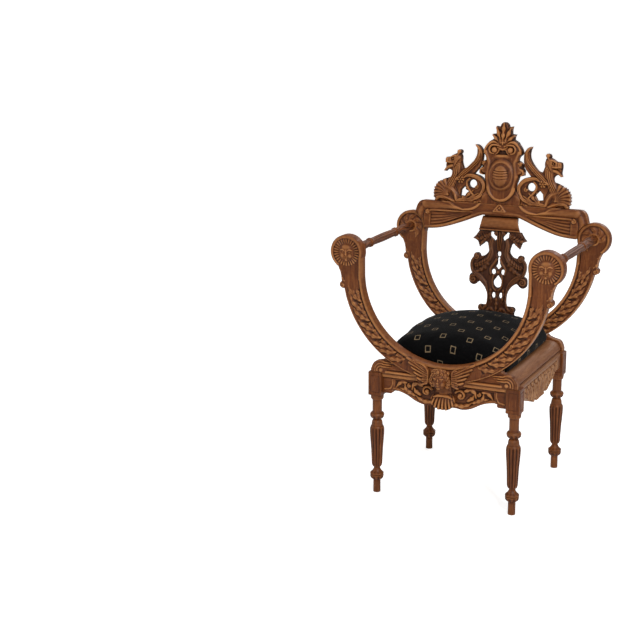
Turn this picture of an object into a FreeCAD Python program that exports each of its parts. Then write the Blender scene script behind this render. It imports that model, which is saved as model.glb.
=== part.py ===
import FreeCAD, Part
import math
import os
import re

# A fixed armchair: turned legs, mortised rails, two U-shaped arm frames and a carved back.
# X runs to the sitter's left-hand side seen from the front, -Y is the front, +Z is up, and
# the origin is on the floor under the middle of the chair.

SIZES = {
    # Placing of the seat square in the chair's overall box
    "seat_centre_y": -4.2,
    "fit_gap": 0.3,
    # Legs and their square blocks
    "leg_centre_x": 207,
    "leg_centre_y": 209,
    "leg_turning_height": 300,
    "leg_turning_radius": 21,
    "block_width": 40.5,
    "rail_top": 371,
    # Rails and their tenons
    "front_rail_setback": 13,
    "front_rail_thickness": 26,
    "front_rail_depth": 80,
    "front_band_height": 13,
    "front_band_projection": 8,
    "side_rail_setback": 8,
    "side_rail_thickness": 28,
    "side_rail_depth": 80,
    "tenon_depth": 10,
    "tenon_thickness": 10,
    "tenon_height": 34,
    "tenon_shoulder": 6,
    # Glue blocks in the corners of the seat frame
    "corner_block_leg": 42,
    "corner_block_height": 40,
    # Rolled side mouldings
    "side_roll_width": 49,
    "side_roll_flat": 17,
    "side_roll_overhang": 7,
    "side_roll_height": 33,
    "side_roll_neck": 7,
    "side_roll_end_inset": 3,
    # Arm frames, whose rises are measured from the rail top
    "frame_inner_radius": 244,
    "frame_side_width": 60,
    "frame_foot_height": 45,
    "frame_flat_depth": 2,
    "front_frame_offset": 4,
    "front_frame_thickness": 30,
    "rear_frame_offset": 0.5,
    "rear_frame_thickness": 28,
    "back_lean_degrees": 4.86,
    "ear_height": 20,
    "ear_drop": 38,
    "head_radius": 49.5,
    "head_offset": 47,
    "head_rise": 56.6,
    "head_recess_radius": 38,
    "head_recess_depth": 7,
    "head_dome_radius": 22,
    "head_dome_projection": 5,
    # Dowels
    "dowel_radius": 4,
    "dowel_length": 44,
    "dowel_low_rise": 14,
    "dowel_high_rise": 31,
    "peg_radius": 3,
    "peg_length": 22,
    # Spandrels between the arm frames and the rails
    "spandrel_inner_x": 60,
    "spandrel_reach": 12,
    "spandrel_height": 48,
    "spandrel_inset": 2,
    "spandrel_thickness": 25,
    # Arm rails
    "arm_radius": 14.5,
    "arm_tenon_radius": 8,
    "arm_tenon_depth": 12,
    # Crest rail, in the leaning back's own frame
    "crest_lap": 6,
    "crest_depth": 100,
    "crest_end_drop": 14.6,
    "crest_back_y": 16.5,
    "crest_thickness": 27,
    "crest_roll_height": 27,
    "crest_roll_projection": 5,
    "crest_roll_inset": 14,
    # Pierced carving over the crest rail
    "carving_half_width": 200,
    "carving_height": 200,
    "carving_back_y": 13.5,
    "griffin_thickness": 24,
    "cartouche_thickness": 31,
    "boss_half_width": 33,
    "boss_half_height": 38.5,
    "boss_rim": 5,
    "boss_dome": 8,
    # Splat, its cap and its shoe
    "splat_half_width": 100,
    "splat_lap": 2,
    "splat_front_y": 3.5,
    "splat_thickness": 14,
    "splat_tongue_half_width": 50,
    "splat_tongue_thickness": 10,
    "splat_tongue_inset": 2,
    "splat_tongue_length": 18,
    "splat_neck_half_width": 54,
    "cap_thickness": 9,
    "cap_gap": 3,
    "cap_foot_half_width": 66,
    "cap_top_half_width": 55,
    "shoe_half_width": 74,
    "shoe_height": 46,
    "shoe_thickness": 25,
    "shoe_projection": 4.5,
    # Winged head and shell on the front rail
    "cherub_radius": 34,
    "cherub_rise": 8,
    "cherub_projection": 28,
    "wing_reach": 100,
    "wing_height": 50,
    "wing_thickness": 11,
    "shell_half_width": 35,
    "shell_height": 50,
    "shell_thickness": 18,
    "shell_top_drop": 36,
    # Loose seat frame, webbing and cushion
    "slat_width": 50,
    "slat_thickness": 20,
    "slat_frame_inset": 21,
    "web_width": 46,
    "web_spacing": 58,
    "web_thickness": 1.5,
    "web_inset": 26,
    "cushion_side_inset": 20,
    "cushion_end_inset": 4,
    "cushion_crown": 101,
    "cushion_well_gap": 1,
    "cushion_well_inset": 6,
}

# Sizes that follow from others, each a sum of names
SUMS = {
    "frame_outer_radius": "frame_inner_radius + frame_side_width",
    "frame_outer_rise": "frame_outer_radius - frame_flat_depth",
    "frame_inner_rise": "frame_inner_radius + frame_foot_height",
    "front_frame_back_y": "- leg_centre_y - front_frame_offset",
    "rear_frame_front_y": "leg_centre_y - rear_frame_offset",
    "ear_rise": "frame_inner_rise - ear_drop",
    "arm_axis_x": "frame_inner_radius + head_offset",
    "arm_axis_rise": "frame_inner_rise + head_rise",
    "side_roll_outer_x": "leg_centre_x + side_roll_overhang",
    "side_roll_inner_x": "side_roll_outer_x - side_roll_width",
    "side_roll_crest_x": "side_roll_inner_x + side_roll_flat",
    "side_roll_rear_y": "leg_centre_y - side_roll_end_inset",
    "spandrel_outer_x": "leg_centre_x + spandrel_reach",
    "front_spandrel_back_y": "- leg_centre_y + spandrel_inset",
    "crest_half_width": "frame_inner_radius + crest_lap",
    "crest_top_rise": "arm_axis_rise + crest_depth - crest_end_drop",
    "crest_roll_half_width": "crest_half_width - crest_roll_inset",
    "shoe_top_rise": "frame_foot_height + shoe_height",
    "splat_foot_rise": "shoe_top_rise - splat_lap",
    "slat_frame_half_width": "leg_centre_x - slat_frame_inset",
    "slat_frame_half_depth": "leg_centre_y - slat_frame_inset",
    "web_half_length": "slat_frame_half_width - web_inset",
    "cushion_half_width": "leg_centre_x - cushion_side_inset",
    "cushion_half_depth": "leg_centre_y - cushion_end_inset",
    "cushion_well_half_width": "side_roll_inner_x - cushion_well_gap",
    "cushion_well_half_depth": "leg_centre_y - cushion_well_inset",
}

doc = FreeCAD.newDocument("CarvedArmchair")
sheet = doc.addObject("Spreadsheet::Sheet", "Sizes")
for row, (alias, value) in enumerate(SIZES.items(), start=1):
    sheet.set(f"A{row}", alias)
    sheet.set(f"B{row}", str(value))
    sheet.setAlias(f"B{row}", alias)
doc.recompute()


def size(name):
    if name not in SUMS:
        return float(sheet.get(name))
    total, sign = 0, 1
    for word in SUMS[name].split():
        if word in ("+", "-"):
            sign = 1 if word == "+" else -1
        else:
            total += sign * size(word)
    return total


def formula(text):
    """Writes a sum of names as the sheet's own cells."""
    def cell(found):
        name = found.group()
        return f"({formula(SUMS[name])})" if name in SUMS else f"Sizes.{name}"
    return re.sub(r"[a-z]+(_[a-z]+)+", cell, text)


def bind(thing, **formulas):
    for prop, text in formulas.items():
        thing.setExpression(prop.replace("__", "."), formula(text))


# Outlines. A run goes on from the point before it: one point is a straight line, two are an
# arc through the first, and more are a smooth curve.

def edge(points):
    vectors = [FreeCAD.Vector(across, up, 0) for across, up in points]
    if len(vectors) == 2:
        return Part.LineSegment(*vectors)
    if len(vectors) == 3:
        return Part.Arc(*vectors)
    curve = Part.BSplineCurve()
    curve.interpolate(vectors)
    return curve


def legs_of(start, runs):
    stretches = []
    for run in runs:
        stretches.append([start] + run)
        start = run[-1]
    return stretches


def closed(start, runs, side=1):
    stretches = legs_of(start, runs)
    if stretches[-1][-1] != start:
        stretches.append([stretches[-1][-1], start])
    return [edge([(side * across, up) for across, up in points]) for points in stretches]


def symmetric(start, runs):
    right = legs_of(start, runs)
    left = [[(-across, up) for across, up in reversed(points)] for points in reversed(right)]
    return [edge(points) for points in right + left]


def scaled(runs, width, height, base=0):
    return [[(width * across, base + height * up) for across, up in run] for run in runs]


def on_circle(radius, centre, degrees):
    turn = math.radians(degrees)
    return (centre[0] + radius * math.cos(turn), centre[1] + radius * math.sin(turn))


def ellipse(centre, radius_across, radius_up):
    middle = FreeCAD.Vector(*centre, 0)
    across = middle + FreeCAD.Vector(radius_across, 0, 0)
    up = middle + FreeCAD.Vector(0, radius_up, 0)
    if radius_across >= radius_up:
        return Part.Ellipse(across, up, middle)
    return Part.Ellipse(up, 2 * middle - across, middle)


def circle(centre, radius):
    return Part.Circle(FreeCAD.Vector(*centre, 0), FreeCAD.Vector(0, 0, 1), radius)


# Features

def origin_plane(body, role):
    return next(item for item in body.Origin.OriginFeatures if item.Role == role)


def new_body(name):
    body = doc.addObject("PartDesign::Body", name)
    body.Label = name
    return body


def sketch_on(body, name, role, offset, geometry):
    sketch = body.newObject("Sketcher::SketchObject", f"{body.Name}_{name}")
    sketch.AttachmentSupport = [(origin_plane(body, role), "")]
    sketch.MapMode = "FlatFace"
    bind(sketch, AttachmentOffset__Base__z=offset)
    for item in geometry:
        sketch.addGeometry(item, False)
    return sketch


def pad(body, name, role, offset, depth, geometry):
    feature = body.newObject("PartDesign::Pad", f"{body.Name}_{name}")
    feature.Profile = sketch_on(body, f"{name}_outline", role, offset, geometry)
    bind(feature, Length=depth)
    return feature


def pocket(body, name, role, offset, depth, geometry):
    feature = body.newObject("PartDesign::Pocket", f"{body.Name}_{name}")
    feature.Profile = sketch_on(body, f"{name}_outline", role, offset, geometry)
    bind(feature, Length=depth)
    return feature


def turned(body, name, geometry):
    feature = body.newObject("PartDesign::Revolution", f"{body.Name}_{name}")
    sketch = sketch_on(body, f"{name}_outline", "XZ_Plane", "0", geometry)
    feature.Profile = sketch
    feature.ReferenceAxis = (sketch, ["V_Axis"])
    feature.Angle = 360
    return feature


def primitive(body, kind, name, corner, **sizes):
    feature = body.newObject(f"PartDesign::{kind}", f"{body.Name}_{name}")
    feature.AttachmentSupport = [(origin_plane(body, "XY_Plane"), "")]
    feature.MapMode = "FlatFace"
    bind(feature, **sizes)
    bind(feature, AttachmentOffset__Base__x=corner[0], AttachmentOffset__Base__y=corner[1],
         AttachmentOffset__Base__z=corner[2])
    return feature


def box(body, kind, name, corner, length, width, height):
    return primitive(body, kind, name, corner, Length=length, Width=width, Height=height)


def bore(body, name, start, along, radius, depth):
    """Cuts a round hole from a start point along a direction."""
    feature = body.newObject("PartDesign::SubtractiveCylinder", f"{body.Name}_{name}")
    feature.AttachmentSupport = [(origin_plane(body, "XY_Plane"), "")]
    feature.MapMode = "FlatFace"
    turn = FreeCAD.Rotation(FreeCAD.Vector(0, 0, 1), along)
    feature.AttachmentOffset = FreeCAD.Placement(start, turn)
    bind(feature, Radius=radius, Height=depth)
    return feature


def stand(thing, across="0", back="0", up="0"):
    bind(thing, Placement__Base__x=across, Placement__Base__y=f"seat_centre_y + {back}",
         Placement__Base__z=up)


def lean(thing):
    """Puts a piece, modelled upright from the rail top, into the leaning back."""
    thing.Placement.Rotation = FreeCAD.Rotation(FreeCAD.Vector(1, 0, 0), -size("back_lean_degrees"))
    stand(thing, back="rear_frame_front_y", up="rail_top")


def level_foot(body, thickness):
    """Cuts a leaning board's foot level, so that it sits flat on the rear rail."""
    reach = "(leg_centre_x + block_width)"
    depth = size(thickness)
    rise = depth * math.tan(math.radians(size("back_lean_degrees")))
    corners = [(0, 0), (depth, rise), (depth, -depth), (0, -depth)]
    pocket(body, "level_foot", "YZ_Plane", reach, f"2 * {reach}",
           closed(corners[0], [[corner] for corner in corners[1:]]))


SIDES = {"left": -1, "right": 1}
ENDS = {"front": -1, "rear": 1}

# Legs: the turning's radius and height as shares of its largest radius and whole height

LEG_START_SHARE = (0, 0)
LEG_PROFILE_SHARES = [
    [(0.52, 0)],
    [(0.505, 0.125)],
    [(0.82, 0.143), (0.955, 0.17)],
    [(0.955, 0.178)],
    [(0.79, 0.181)],
    [(0.94, 0.187)],
    [(0.94, 0.2)],
    [(0.62, 0.222), (0.42, 0.253)],
    [(0.62, 0.268), (0.75, 0.303)],
    [(0.84, 0.457), (0.94, 0.55), (1, 0.63)],
    [(0.93, 0.671), (0.78, 0.687)],
    [(0.78, 0.693)],
    [(0.69, 0.732), (0.5, 0.747)],
    [(0.8, 0.762), (0.995, 0.79)],
    [(0.9, 0.815), (0.67, 0.82)],
    [(0.67, 0.95)],
    [(0.93, 1)],
    [(0, 1)],
]


def make_leg(end, side):
    body = new_body(f"leg_{end}_{side}")
    across, back = SIDES[side], ENDS[end]
    runs = scaled(LEG_PROFILE_SHARES, size("leg_turning_radius"), size("leg_turning_height"))
    turned(body, "turning", closed(LEG_START_SHARE, runs))
    half = "block_width / 2"
    box(body, "AdditiveBox", "block", (f"-{half}", f"-{half}", "leg_turning_height"),
        "block_width", "block_width", "rail_top - leg_turning_height")
    hole_depth = "(tenon_depth + fit_gap)"
    hole_thickness = "(tenon_thickness + 2 * fit_gap)"
    hole_height = "tenon_height + 2 * fit_gap"
    hole_base = "rail_top - tenon_shoulder - tenon_height - fit_gap"
    near = f"-{half}"
    far = f"{half} - {hole_depth}"
    front_centre = f"{back} * ({half} - front_rail_setback - front_rail_thickness / 2)"
    side_centre = f"{across} * ({half} - side_rail_setback - side_rail_thickness / 2)"
    box(body, "SubtractiveBox", "cross_mortise",
        (near if across > 0 else far, f"{front_centre} - {hole_thickness} / 2", hole_base),
        hole_depth, hole_thickness, hole_height)
    box(body, "SubtractiveBox", "side_mortise",
        (f"{side_centre} - {hole_thickness} / 2", near if back > 0 else far, hole_base),
        hole_thickness, hole_depth, hole_height)
    stand(body, across=f"{across} * leg_centre_x", back=f"{back} * leg_centre_y")
    return body


# Rails: the lower edge as shares of the half length and of the depth below the rail top

FRONT_EDGE_SHARES = [
    [(0.214, -1)],
    [(0.305, -1.025), (0.386, -0.992), (0.482, -0.903), (0.573, -0.781), (0.688, -0.678),
     (0.803, -0.631)],
    [(0.843, -0.631)],
    [(0.843, -0.725)],
    [(0.855, -0.765), (0.873, -0.779)],
    [(1, -0.779)],
]
SIDE_EDGE_SHARES = [
    [(0.2, -1.038)],
    [(0.222, -0.975)],
    [(0.328, -1), (0.434, -0.938), (0.53, -0.85), (0.636, -0.738), (0.747, -0.613),
     (0.832, -0.563)],
    [(1, -0.563)],
]
REAR_EDGE_SHARES = [
    [(0.3, -0.85), (0.6, -0.75), (0.85, -0.63)],
    [(1, -0.63)],
]


def rail_outline(edge_shares, centre_share, half_length, depth):
    top = size("rail_top")
    runs = scaled(edge_shares, half_length, depth, top)
    runs += [[(half_length, top)], [(0, top)]]
    return symmetric((0, top + centre_share * depth), runs)


def tenons(body, kind, centre):
    """Adds a tenon at each end of a rail: along X for a cross rail, along Y for a side rail."""
    base = "rail_top - tenon_shoulder - tenon_height"
    start = f"{centre} - tenon_thickness / 2"
    for name, end in SIDES.items():
        reach = f"(leg_centre_{kind} - block_width / 2)"
        near = reach if end > 0 else f"-{reach} - tenon_depth"
        if kind == "x":
            box(body, "AdditiveBox", f"{name}_tenon", (near, start, base),
                "tenon_depth", "tenon_thickness", "tenon_height")
        else:
            box(body, "AdditiveBox", f"{name}_tenon", (start, near, base),
                "tenon_thickness", "tenon_depth", "tenon_height")


def make_cross_rail(end, edge_shares, centre_share, depth):
    body = new_body(f"{end}_rail")
    half_length = size("leg_centre_x") - size("block_width") / 2
    face = "(leg_centre_y + block_width / 2 - front_rail_setback)"
    inner = f"({face} - front_rail_thickness)"
    offset = f"-{face}" if end == "rear" else inner
    pad(body, "board", "XZ_Plane", offset, "front_rail_thickness",
        rail_outline(edge_shares, centre_share, half_length, depth))
    tenons(body, "x", f"{ENDS[end]} * ({face} - front_rail_thickness / 2)")
    if end == "front":
        half = "(leg_centre_x - block_width / 2)"
        box(body, "AdditiveBox", "band",
            (f"-{half}", f"-{face} - front_band_projection", "rail_top - front_band_height"),
            f"2 * {half}", "front_band_projection", "front_band_height")
    stand(body)
    return body


def make_side_rail(side):
    body = new_body(f"{side}_rail")
    half_length = size("leg_centre_y") - size("block_width") / 2
    face = "(leg_centre_x + block_width / 2 - side_rail_setback)"
    offset = f"{face} - side_rail_thickness" if side == "right" else f"-{face}"
    pad(body, "board", "YZ_Plane", offset, "side_rail_thickness",
        rail_outline(SIDE_EDGE_SHARES, SIDE_EDGE_SHARES[0][0][1], half_length,
                     size("side_rail_depth")))
    tenons(body, "y", f"{SIDES[side]} * ({face} - side_rail_thickness / 2)")
    stand(body)
    return body


def make_corner_block(end, side):
    """A three-cornered glue block between two rails, against the leg block's inner corner."""
    body = new_body(f"corner_block_{end}_{side}")
    across, back = SIDES[side], ENDS[end]
    leg_x = size("leg_centre_x") - size("block_width") / 2
    leg_y = size("leg_centre_y") - size("block_width") / 2
    rail_x = size("leg_centre_x") + size("block_width") / 2 - size("side_rail_setback")
    rail_x -= size("side_rail_thickness")
    rail_y = size("leg_centre_y") + size("block_width") / 2 - size("front_rail_setback")
    rail_y -= size("front_rail_thickness")
    reach = size("corner_block_leg")
    corners = [(rail_x, leg_y), (rail_x, leg_y - reach), (leg_x - reach, rail_y)]
    if rail_y > leg_y:
        corners += [(leg_x, rail_y), (leg_x, leg_y)]
    placed = [(across * x, back * y) for x, y in corners]
    pad(body, "block", "XY_Plane",
        "rail_top - fit_gap - slat_thickness - corner_block_height", "corner_block_height",
        closed(placed[0], [[point] for point in placed[1:]]))
    stand(body)
    return body


def make_side_roll(side):
    """A moulding with a flat inner face, a quarter-round crest and a short neck on the rail."""
    body = new_body(f"side_roll_{side}")
    base = size("rail_top")
    inner, crest, outer = (size(f"side_roll_{at}_x") for at in ("inner", "crest", "outer"))
    top = base + size("side_roll_height")
    neck = base + size("side_roll_neck")
    middle = (crest + (outer - crest) * math.sqrt(0.5), neck + (top - neck) * math.sqrt(0.5))
    runs = [[(outer, base)], [(outer, neck)], [middle, (crest, top)], [(inner, top)],
            [(inner, base)]]
    pad(body, "moulding", "XZ_Plane", "-side_roll_rear_y", "2 * side_roll_rear_y",
        closed((inner, base), runs, SIDES[side]))
    stand(body)
    return body


# Arm frames: a half of the U, from the middle joint out to the roundel head

EAR_END_SHARES = (0.4, 0.5)
EAR_REACH_SHARE = 0.7
WAIST_SHARE = 0.15
HAUNCH_DEGREES = -45
HEAD_UNDER_DEGREES = -58
HEAD_SIDE_DEGREES = 20
HEAD_TOP_DEGREES = 110


def frame_outline(side):
    inner, outer = size("frame_inner_radius"), size("frame_outer_radius")
    inner_rise, outer_rise = size("frame_inner_rise"), size("frame_outer_rise")
    flat = math.sqrt(outer ** 2 - outer_rise ** 2)
    ear, ear_height = size("ear_rise"), size("ear_height")
    ear_low = ear - ear_height / 2
    ear_start = (math.sqrt(outer ** 2 - (outer_rise - ear_low) ** 2), ear_low)
    head = (size("arm_axis_x"), size("arm_axis_rise"))
    radius = size("head_radius")
    head_foot = on_circle(radius, head, HEAD_UNDER_DEGREES)
    neck_rise = head[1] - math.sqrt(radius ** 2 - (head[0] - inner) ** 2)
    head_inner = (inner, neck_rise)
    inner_degrees = 180 + math.degrees(math.asin((head[1] - neck_rise) / radius))
    ear_end = (ear_start[0] + ear_height * EAR_END_SHARES[0],
               ear + ear_height * EAR_END_SHARES[1])
    belly = on_circle(outer, (0, outer_rise), HAUNCH_DEGREES)
    hollow = on_circle(inner, (0, inner_rise), HAUNCH_DEGREES)
    waist = (ear_end[0] + ear_height * WAIST_SHARE, (ear_end[1] + head_foot[1]) / 2)
    runs = [
        [(flat, 0)],
        [belly, ear_start],
        [(ear_start[0] + ear_height * EAR_REACH_SHARE, ear), ear_end],
        [waist, head_foot],
        [on_circle(radius, head, HEAD_SIDE_DEGREES), on_circle(radius, head, HEAD_TOP_DEGREES)],
        [on_circle(radius, head, (HEAD_TOP_DEGREES + inner_degrees) / 2), head_inner],
        [(inner, inner_rise)],
        [hollow, (0, inner_rise - inner)],
    ]
    return closed((0, 0), runs, side)


def make_arm_half(end, side):
    body = new_body(f"{end}_arm_{side}")
    across = SIDES[side]
    thickness = f"{end}_frame_thickness"
    rise = "rail_top" if end == "front" else "0"
    if end == "front":
        back, front = "front_frame_back_y", "front_frame_back_y - front_frame_thickness"
    else:
        back, front = "rear_frame_thickness", "0"
    geometry = frame_outline(across)
    pad(body, "frame", "XZ_Plane", f"-({back})", thickness, geometry)
    head_x = across * size("arm_axis_x")
    head = (head_x, size("arm_axis_rise"))
    carved = front if end == "front" else back
    if end == "front":
        pocket(body, "recess", "XZ_Plane", f"-({carved})", "head_recess_depth",
               [circle(head, size("head_recess_radius"))])
        dome_base = f"-({carved} + head_recess_depth)"
        dome_depth = "head_recess_depth + head_dome_projection"
        pad(body, "dome", "XZ_Plane", dome_base, dome_depth,
            [circle(head, size("head_dome_radius"))])
    add_frame_bores(body, end, across)
    if end == "front":
        stand(body, up="rail_top")
    else:
        level_foot(body, "rear_frame_thickness")
        lean(body)
    return body


def frame_middle_y(end):
    if end == "front":
        return size("front_frame_back_y") - size("front_frame_thickness") / 2
    return size("rear_frame_thickness") / 2


def add_frame_bores(body, end, across):
    middle = frame_middle_y(end)
    sideways = FreeCAD.Vector(across, 0, 0)
    for name in ("low", "high"):
        start = FreeCAD.Vector(0, middle, size(f"dowel_{name}_rise"))
        bore(body, f"{name}_bore", start, sideways, "dowel_radius + fit_gap",
             "dowel_length / 2 + fit_gap")
    arm_x = across * size("arm_axis_x")
    if end == "front":
        start = FreeCAD.Vector(arm_x, size("front_frame_back_y"), size("arm_axis_rise"))
        along = FreeCAD.Vector(0, -1, 0)
    else:
        turn = math.radians(size("back_lean_degrees"))
        start = FreeCAD.Vector(arm_x, 0, size("arm_axis_rise") / math.cos(turn))
        along = FreeCAD.Vector(0, math.cos(turn), math.sin(turn))
        start -= along * size("arm_tenon_radius")
    reach = "arm_tenon_depth + fit_gap"
    if end == "rear":
        reach += " + arm_tenon_radius"
    bore(body, "arm_bore", start, along, "arm_tenon_radius + fit_gap", reach)


def make_frame_dowels():
    pegs = []
    for end in ENDS:
        for name in ("low", "high"):
            peg = doc.addObject("Part::Cylinder", f"{end}_{name}_dowel")
            bind(peg, Radius="dowel_radius", Height="dowel_length")
            turn = FreeCAD.Rotation(FreeCAD.Vector(0, 1, 0), 90)
            start = FreeCAD.Vector(-size("dowel_length") / 2, frame_middle_y(end),
                                   size(f"dowel_{name}_rise"))
            peg.Placement = FreeCAD.Placement(start, turn)
            if end == "rear":
                tilt = FreeCAD.Rotation(FreeCAD.Vector(1, 0, 0), -size("back_lean_degrees"))
                foot = FreeCAD.Vector(0, size("rear_frame_front_y"), 0)
                peg.Placement = FreeCAD.Placement(foot, tilt) * peg.Placement
            pegs.append(peg)
    return gathered("frame_dowels", pegs, up="rail_top")


def gathered(name, pieces, **place):
    group = doc.addObject("Part::Compound", name)
    group.Label = name
    group.Links = pieces
    stand(group, **place)
    return group


# Spandrels: the outer end's scroll as shares of its width past the frame and its height

SPANDREL_SCROLL_SHARES = [
    [(1, 0.21)],
    [(0.903, 0.479), (0.786, 0.646), (0.591, 0.729), (0.397, 0.771)],
    [(0.126, 0.875)],
]


def spandrel_outline(side):
    outer_x, inner_x = size("spandrel_outer_x"), size("spandrel_inner_x")
    radius = size("frame_outer_radius") + size("fit_gap")
    rise, height = size("frame_outer_rise"), size("spandrel_height")
    top_x = math.sqrt(radius ** 2 - (rise - height) ** 2)
    scroll = [[(top_x + across, up) for across, up in run]
              for run in scaled(SPANDREL_SCROLL_SHARES, outer_x - top_x, height)]
    middle_x = (top_x + inner_x) / 2
    middle = (middle_x, rise - math.sqrt(radius ** 2 - middle_x ** 2))
    inner = (inner_x, rise - math.sqrt(radius ** 2 - inner_x ** 2))
    runs = [[(outer_x, 0)]] + scroll + [[(top_x, height)], [middle, inner]]
    return closed((inner_x, 0), runs, side)


def make_spandrel(end, side):
    body = new_body(f"{end}_spandrel_{side}")
    geometry = spandrel_outline(SIDES[side])
    if end == "front":
        pad(body, "board", "XZ_Plane", "-front_spandrel_back_y", "spandrel_thickness", geometry)
        stand(body, up="rail_top")
    else:
        pad(body, "board", "XZ_Plane", "-spandrel_thickness", "spandrel_thickness", geometry)
        level_foot(body, "spandrel_thickness")
        lean(body)
    return body


# Arm rails: the turning's radius and length as shares of its largest radius and whole length

ARM_PROFILE_SHARES = [
    [(0.72, 0)],
    [(0.95, 0.06), (0.97, 0.15), (0.8, 0.25), (0.72, 0.282)],
    [(0.9, 0.288)],
    [(1, 0.3), (0.9, 0.312)],
    [(0.76, 0.318)],
    [(0.84, 0.42), (0.87, 0.51), (0.84, 0.6), (0.76, 0.7)],
    [(0.9, 0.706)],
    [(1, 0.718), (0.9, 0.73)],
    [(0.72, 0.735)],
    [(0.8, 0.77), (0.97, 0.85), (0.95, 0.92), (0.72, 1)],
    [(0.72, 1.02)],
    [(0, 1.02)],
]


def make_arm_rail(side):
    """Turned along its own axis, cut at the back to the lean, then laid between the heads."""
    body = new_body(f"arm_rail_{side}")
    slope = math.tan(math.radians(size("back_lean_degrees")))
    rear_y = size("rear_frame_front_y") + slope * size("arm_axis_rise")
    length = rear_y - size("front_frame_back_y")
    radius = size("arm_radius")
    runs = scaled(ARM_PROFILE_SHARES, radius, length)
    turned(body, "turning", closed((0, 0), runs))
    past = length + 2 * radius
    cut = [(-radius, length + slope * radius), (radius, length - slope * radius),
           (radius, past), (-radius, past)]
    pocket(body, "rear_cut", "YZ_Plane", "arm_radius", "2 * arm_radius",
           closed(cut[0], [[point] for point in cut[1:]]))
    for name, start in (("front", "-arm_tenon_depth"), ("rear", f"{length} - arm_tenon_depth")):
        primitive(body, "AdditiveCylinder", f"{name}_tenon", ("0", "0", start),
                  Radius="arm_tenon_radius", Height="2 * arm_tenon_depth")
    body.Placement.Rotation = FreeCAD.Rotation(FreeCAD.Vector(1, 0, 0), -90)
    stand(body, across=f"{SIDES[side]} * arm_axis_x", back="front_frame_back_y",
          up="rail_top + arm_axis_rise")
    return body


# Crest rail: shares of its half width and of its depth below the top edge

CREST_MIDDLE_SHARE = -0.34
CREST_EDGE_SHARES = [
    [(0.216, CREST_MIDDLE_SHARE)],
    [(0.328, -0.443), (0.448, -0.569), (0.572, -0.684), (0.696, -0.786), (0.812, -0.846),
     (0.9, -0.866), (0.96, -0.875)],
]
CREST_HOLLOW_DEGREES = (178, 145, 110)
CREST_END_SHARES = [
    [(1.084, -0.27), (1.068, -0.15), (1.031, -0.035), (0.984, 0)],
    [(0, 0)],
]


def crest_foot_rise():
    return size("crest_top_rise") + CREST_MIDDLE_SHARE * size("crest_depth")


def crest_outline():
    half, depth, top = size("crest_half_width"), size("crest_depth"), size("crest_top_rise")
    head = (size("arm_axis_x"), size("arm_axis_rise"))
    radius = size("head_radius") + size("fit_gap")
    runs = scaled(CREST_EDGE_SHARES, half, depth, top)
    hollow = [on_circle(radius, head, degrees) for degrees in CREST_HOLLOW_DEGREES]
    runs += [hollow[:1], hollow[1:]]
    runs += scaled(CREST_END_SHARES, half, depth, top)
    return symmetric((0, crest_foot_rise()), runs)


def make_crest_rail():
    body = new_body("crest_rail")
    pad(body, "board", "XZ_Plane", "-crest_back_y", "crest_thickness", crest_outline())
    box(body, "AdditiveBox", "roll",
        ("-crest_roll_half_width", "crest_back_y - crest_thickness - crest_roll_projection",
         "crest_top_rise - crest_roll_height"),
        "2 * crest_roll_half_width", "crest_roll_projection + crest_thickness / 2",
        "crest_roll_height")
    box(body, "SubtractiveBox", "splat_mortise",
        ("-splat_tongue_half_width - fit_gap", "splat_front_y + splat_tongue_inset - fit_gap",
         f"{crest_foot_rise()}"),
        "2 * (splat_tongue_half_width + fit_gap)", "splat_tongue_thickness + 2 * fit_gap",
        "splat_tongue_length + fit_gap")
    for number, start in enumerate(peg_places()):
        bore(body, f"peg_bore_{number}", start, FreeCAD.Vector(0, 0, -1),
             "peg_radius + fit_gap", "peg_length / 2 + fit_gap")
    lean(body)
    return body


PEG_SHARES = {"griffin": (0.425, 0.925), "cartouche": (0.15,)}


def peg_place(share, across):
    back = size("carving_back_y") - size("griffin_thickness") / 2
    return FreeCAD.Vector(across * share * size("carving_half_width"), back,
                          size("crest_top_rise"))


def peg_places():
    return [peg_place(share, across) for across in SIDES.values()
            for shares in PEG_SHARES.values() for share in shares]


def make_crest_dowels():
    pegs = []
    tilt = FreeCAD.Rotation(FreeCAD.Vector(1, 0, 0), -size("back_lean_degrees"))
    foot = FreeCAD.Placement(FreeCAD.Vector(0, size("rear_frame_front_y"), 0), tilt)
    drop = FreeCAD.Vector(0, 0, size("peg_length") / 2)
    for number, place in enumerate(peg_places()):
        peg = doc.addObject("Part::Cylinder", f"peg_{number}")
        bind(peg, Radius="peg_radius", Height="peg_length")
        peg.Placement = foot * FreeCAD.Placement(place - drop, FreeCAD.Rotation())
        pegs.append(peg)
    return gathered("crest_dowels", pegs, up="rail_top")


# Pierced carving: shares of the carving's half width and height, above the crest rail

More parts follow.
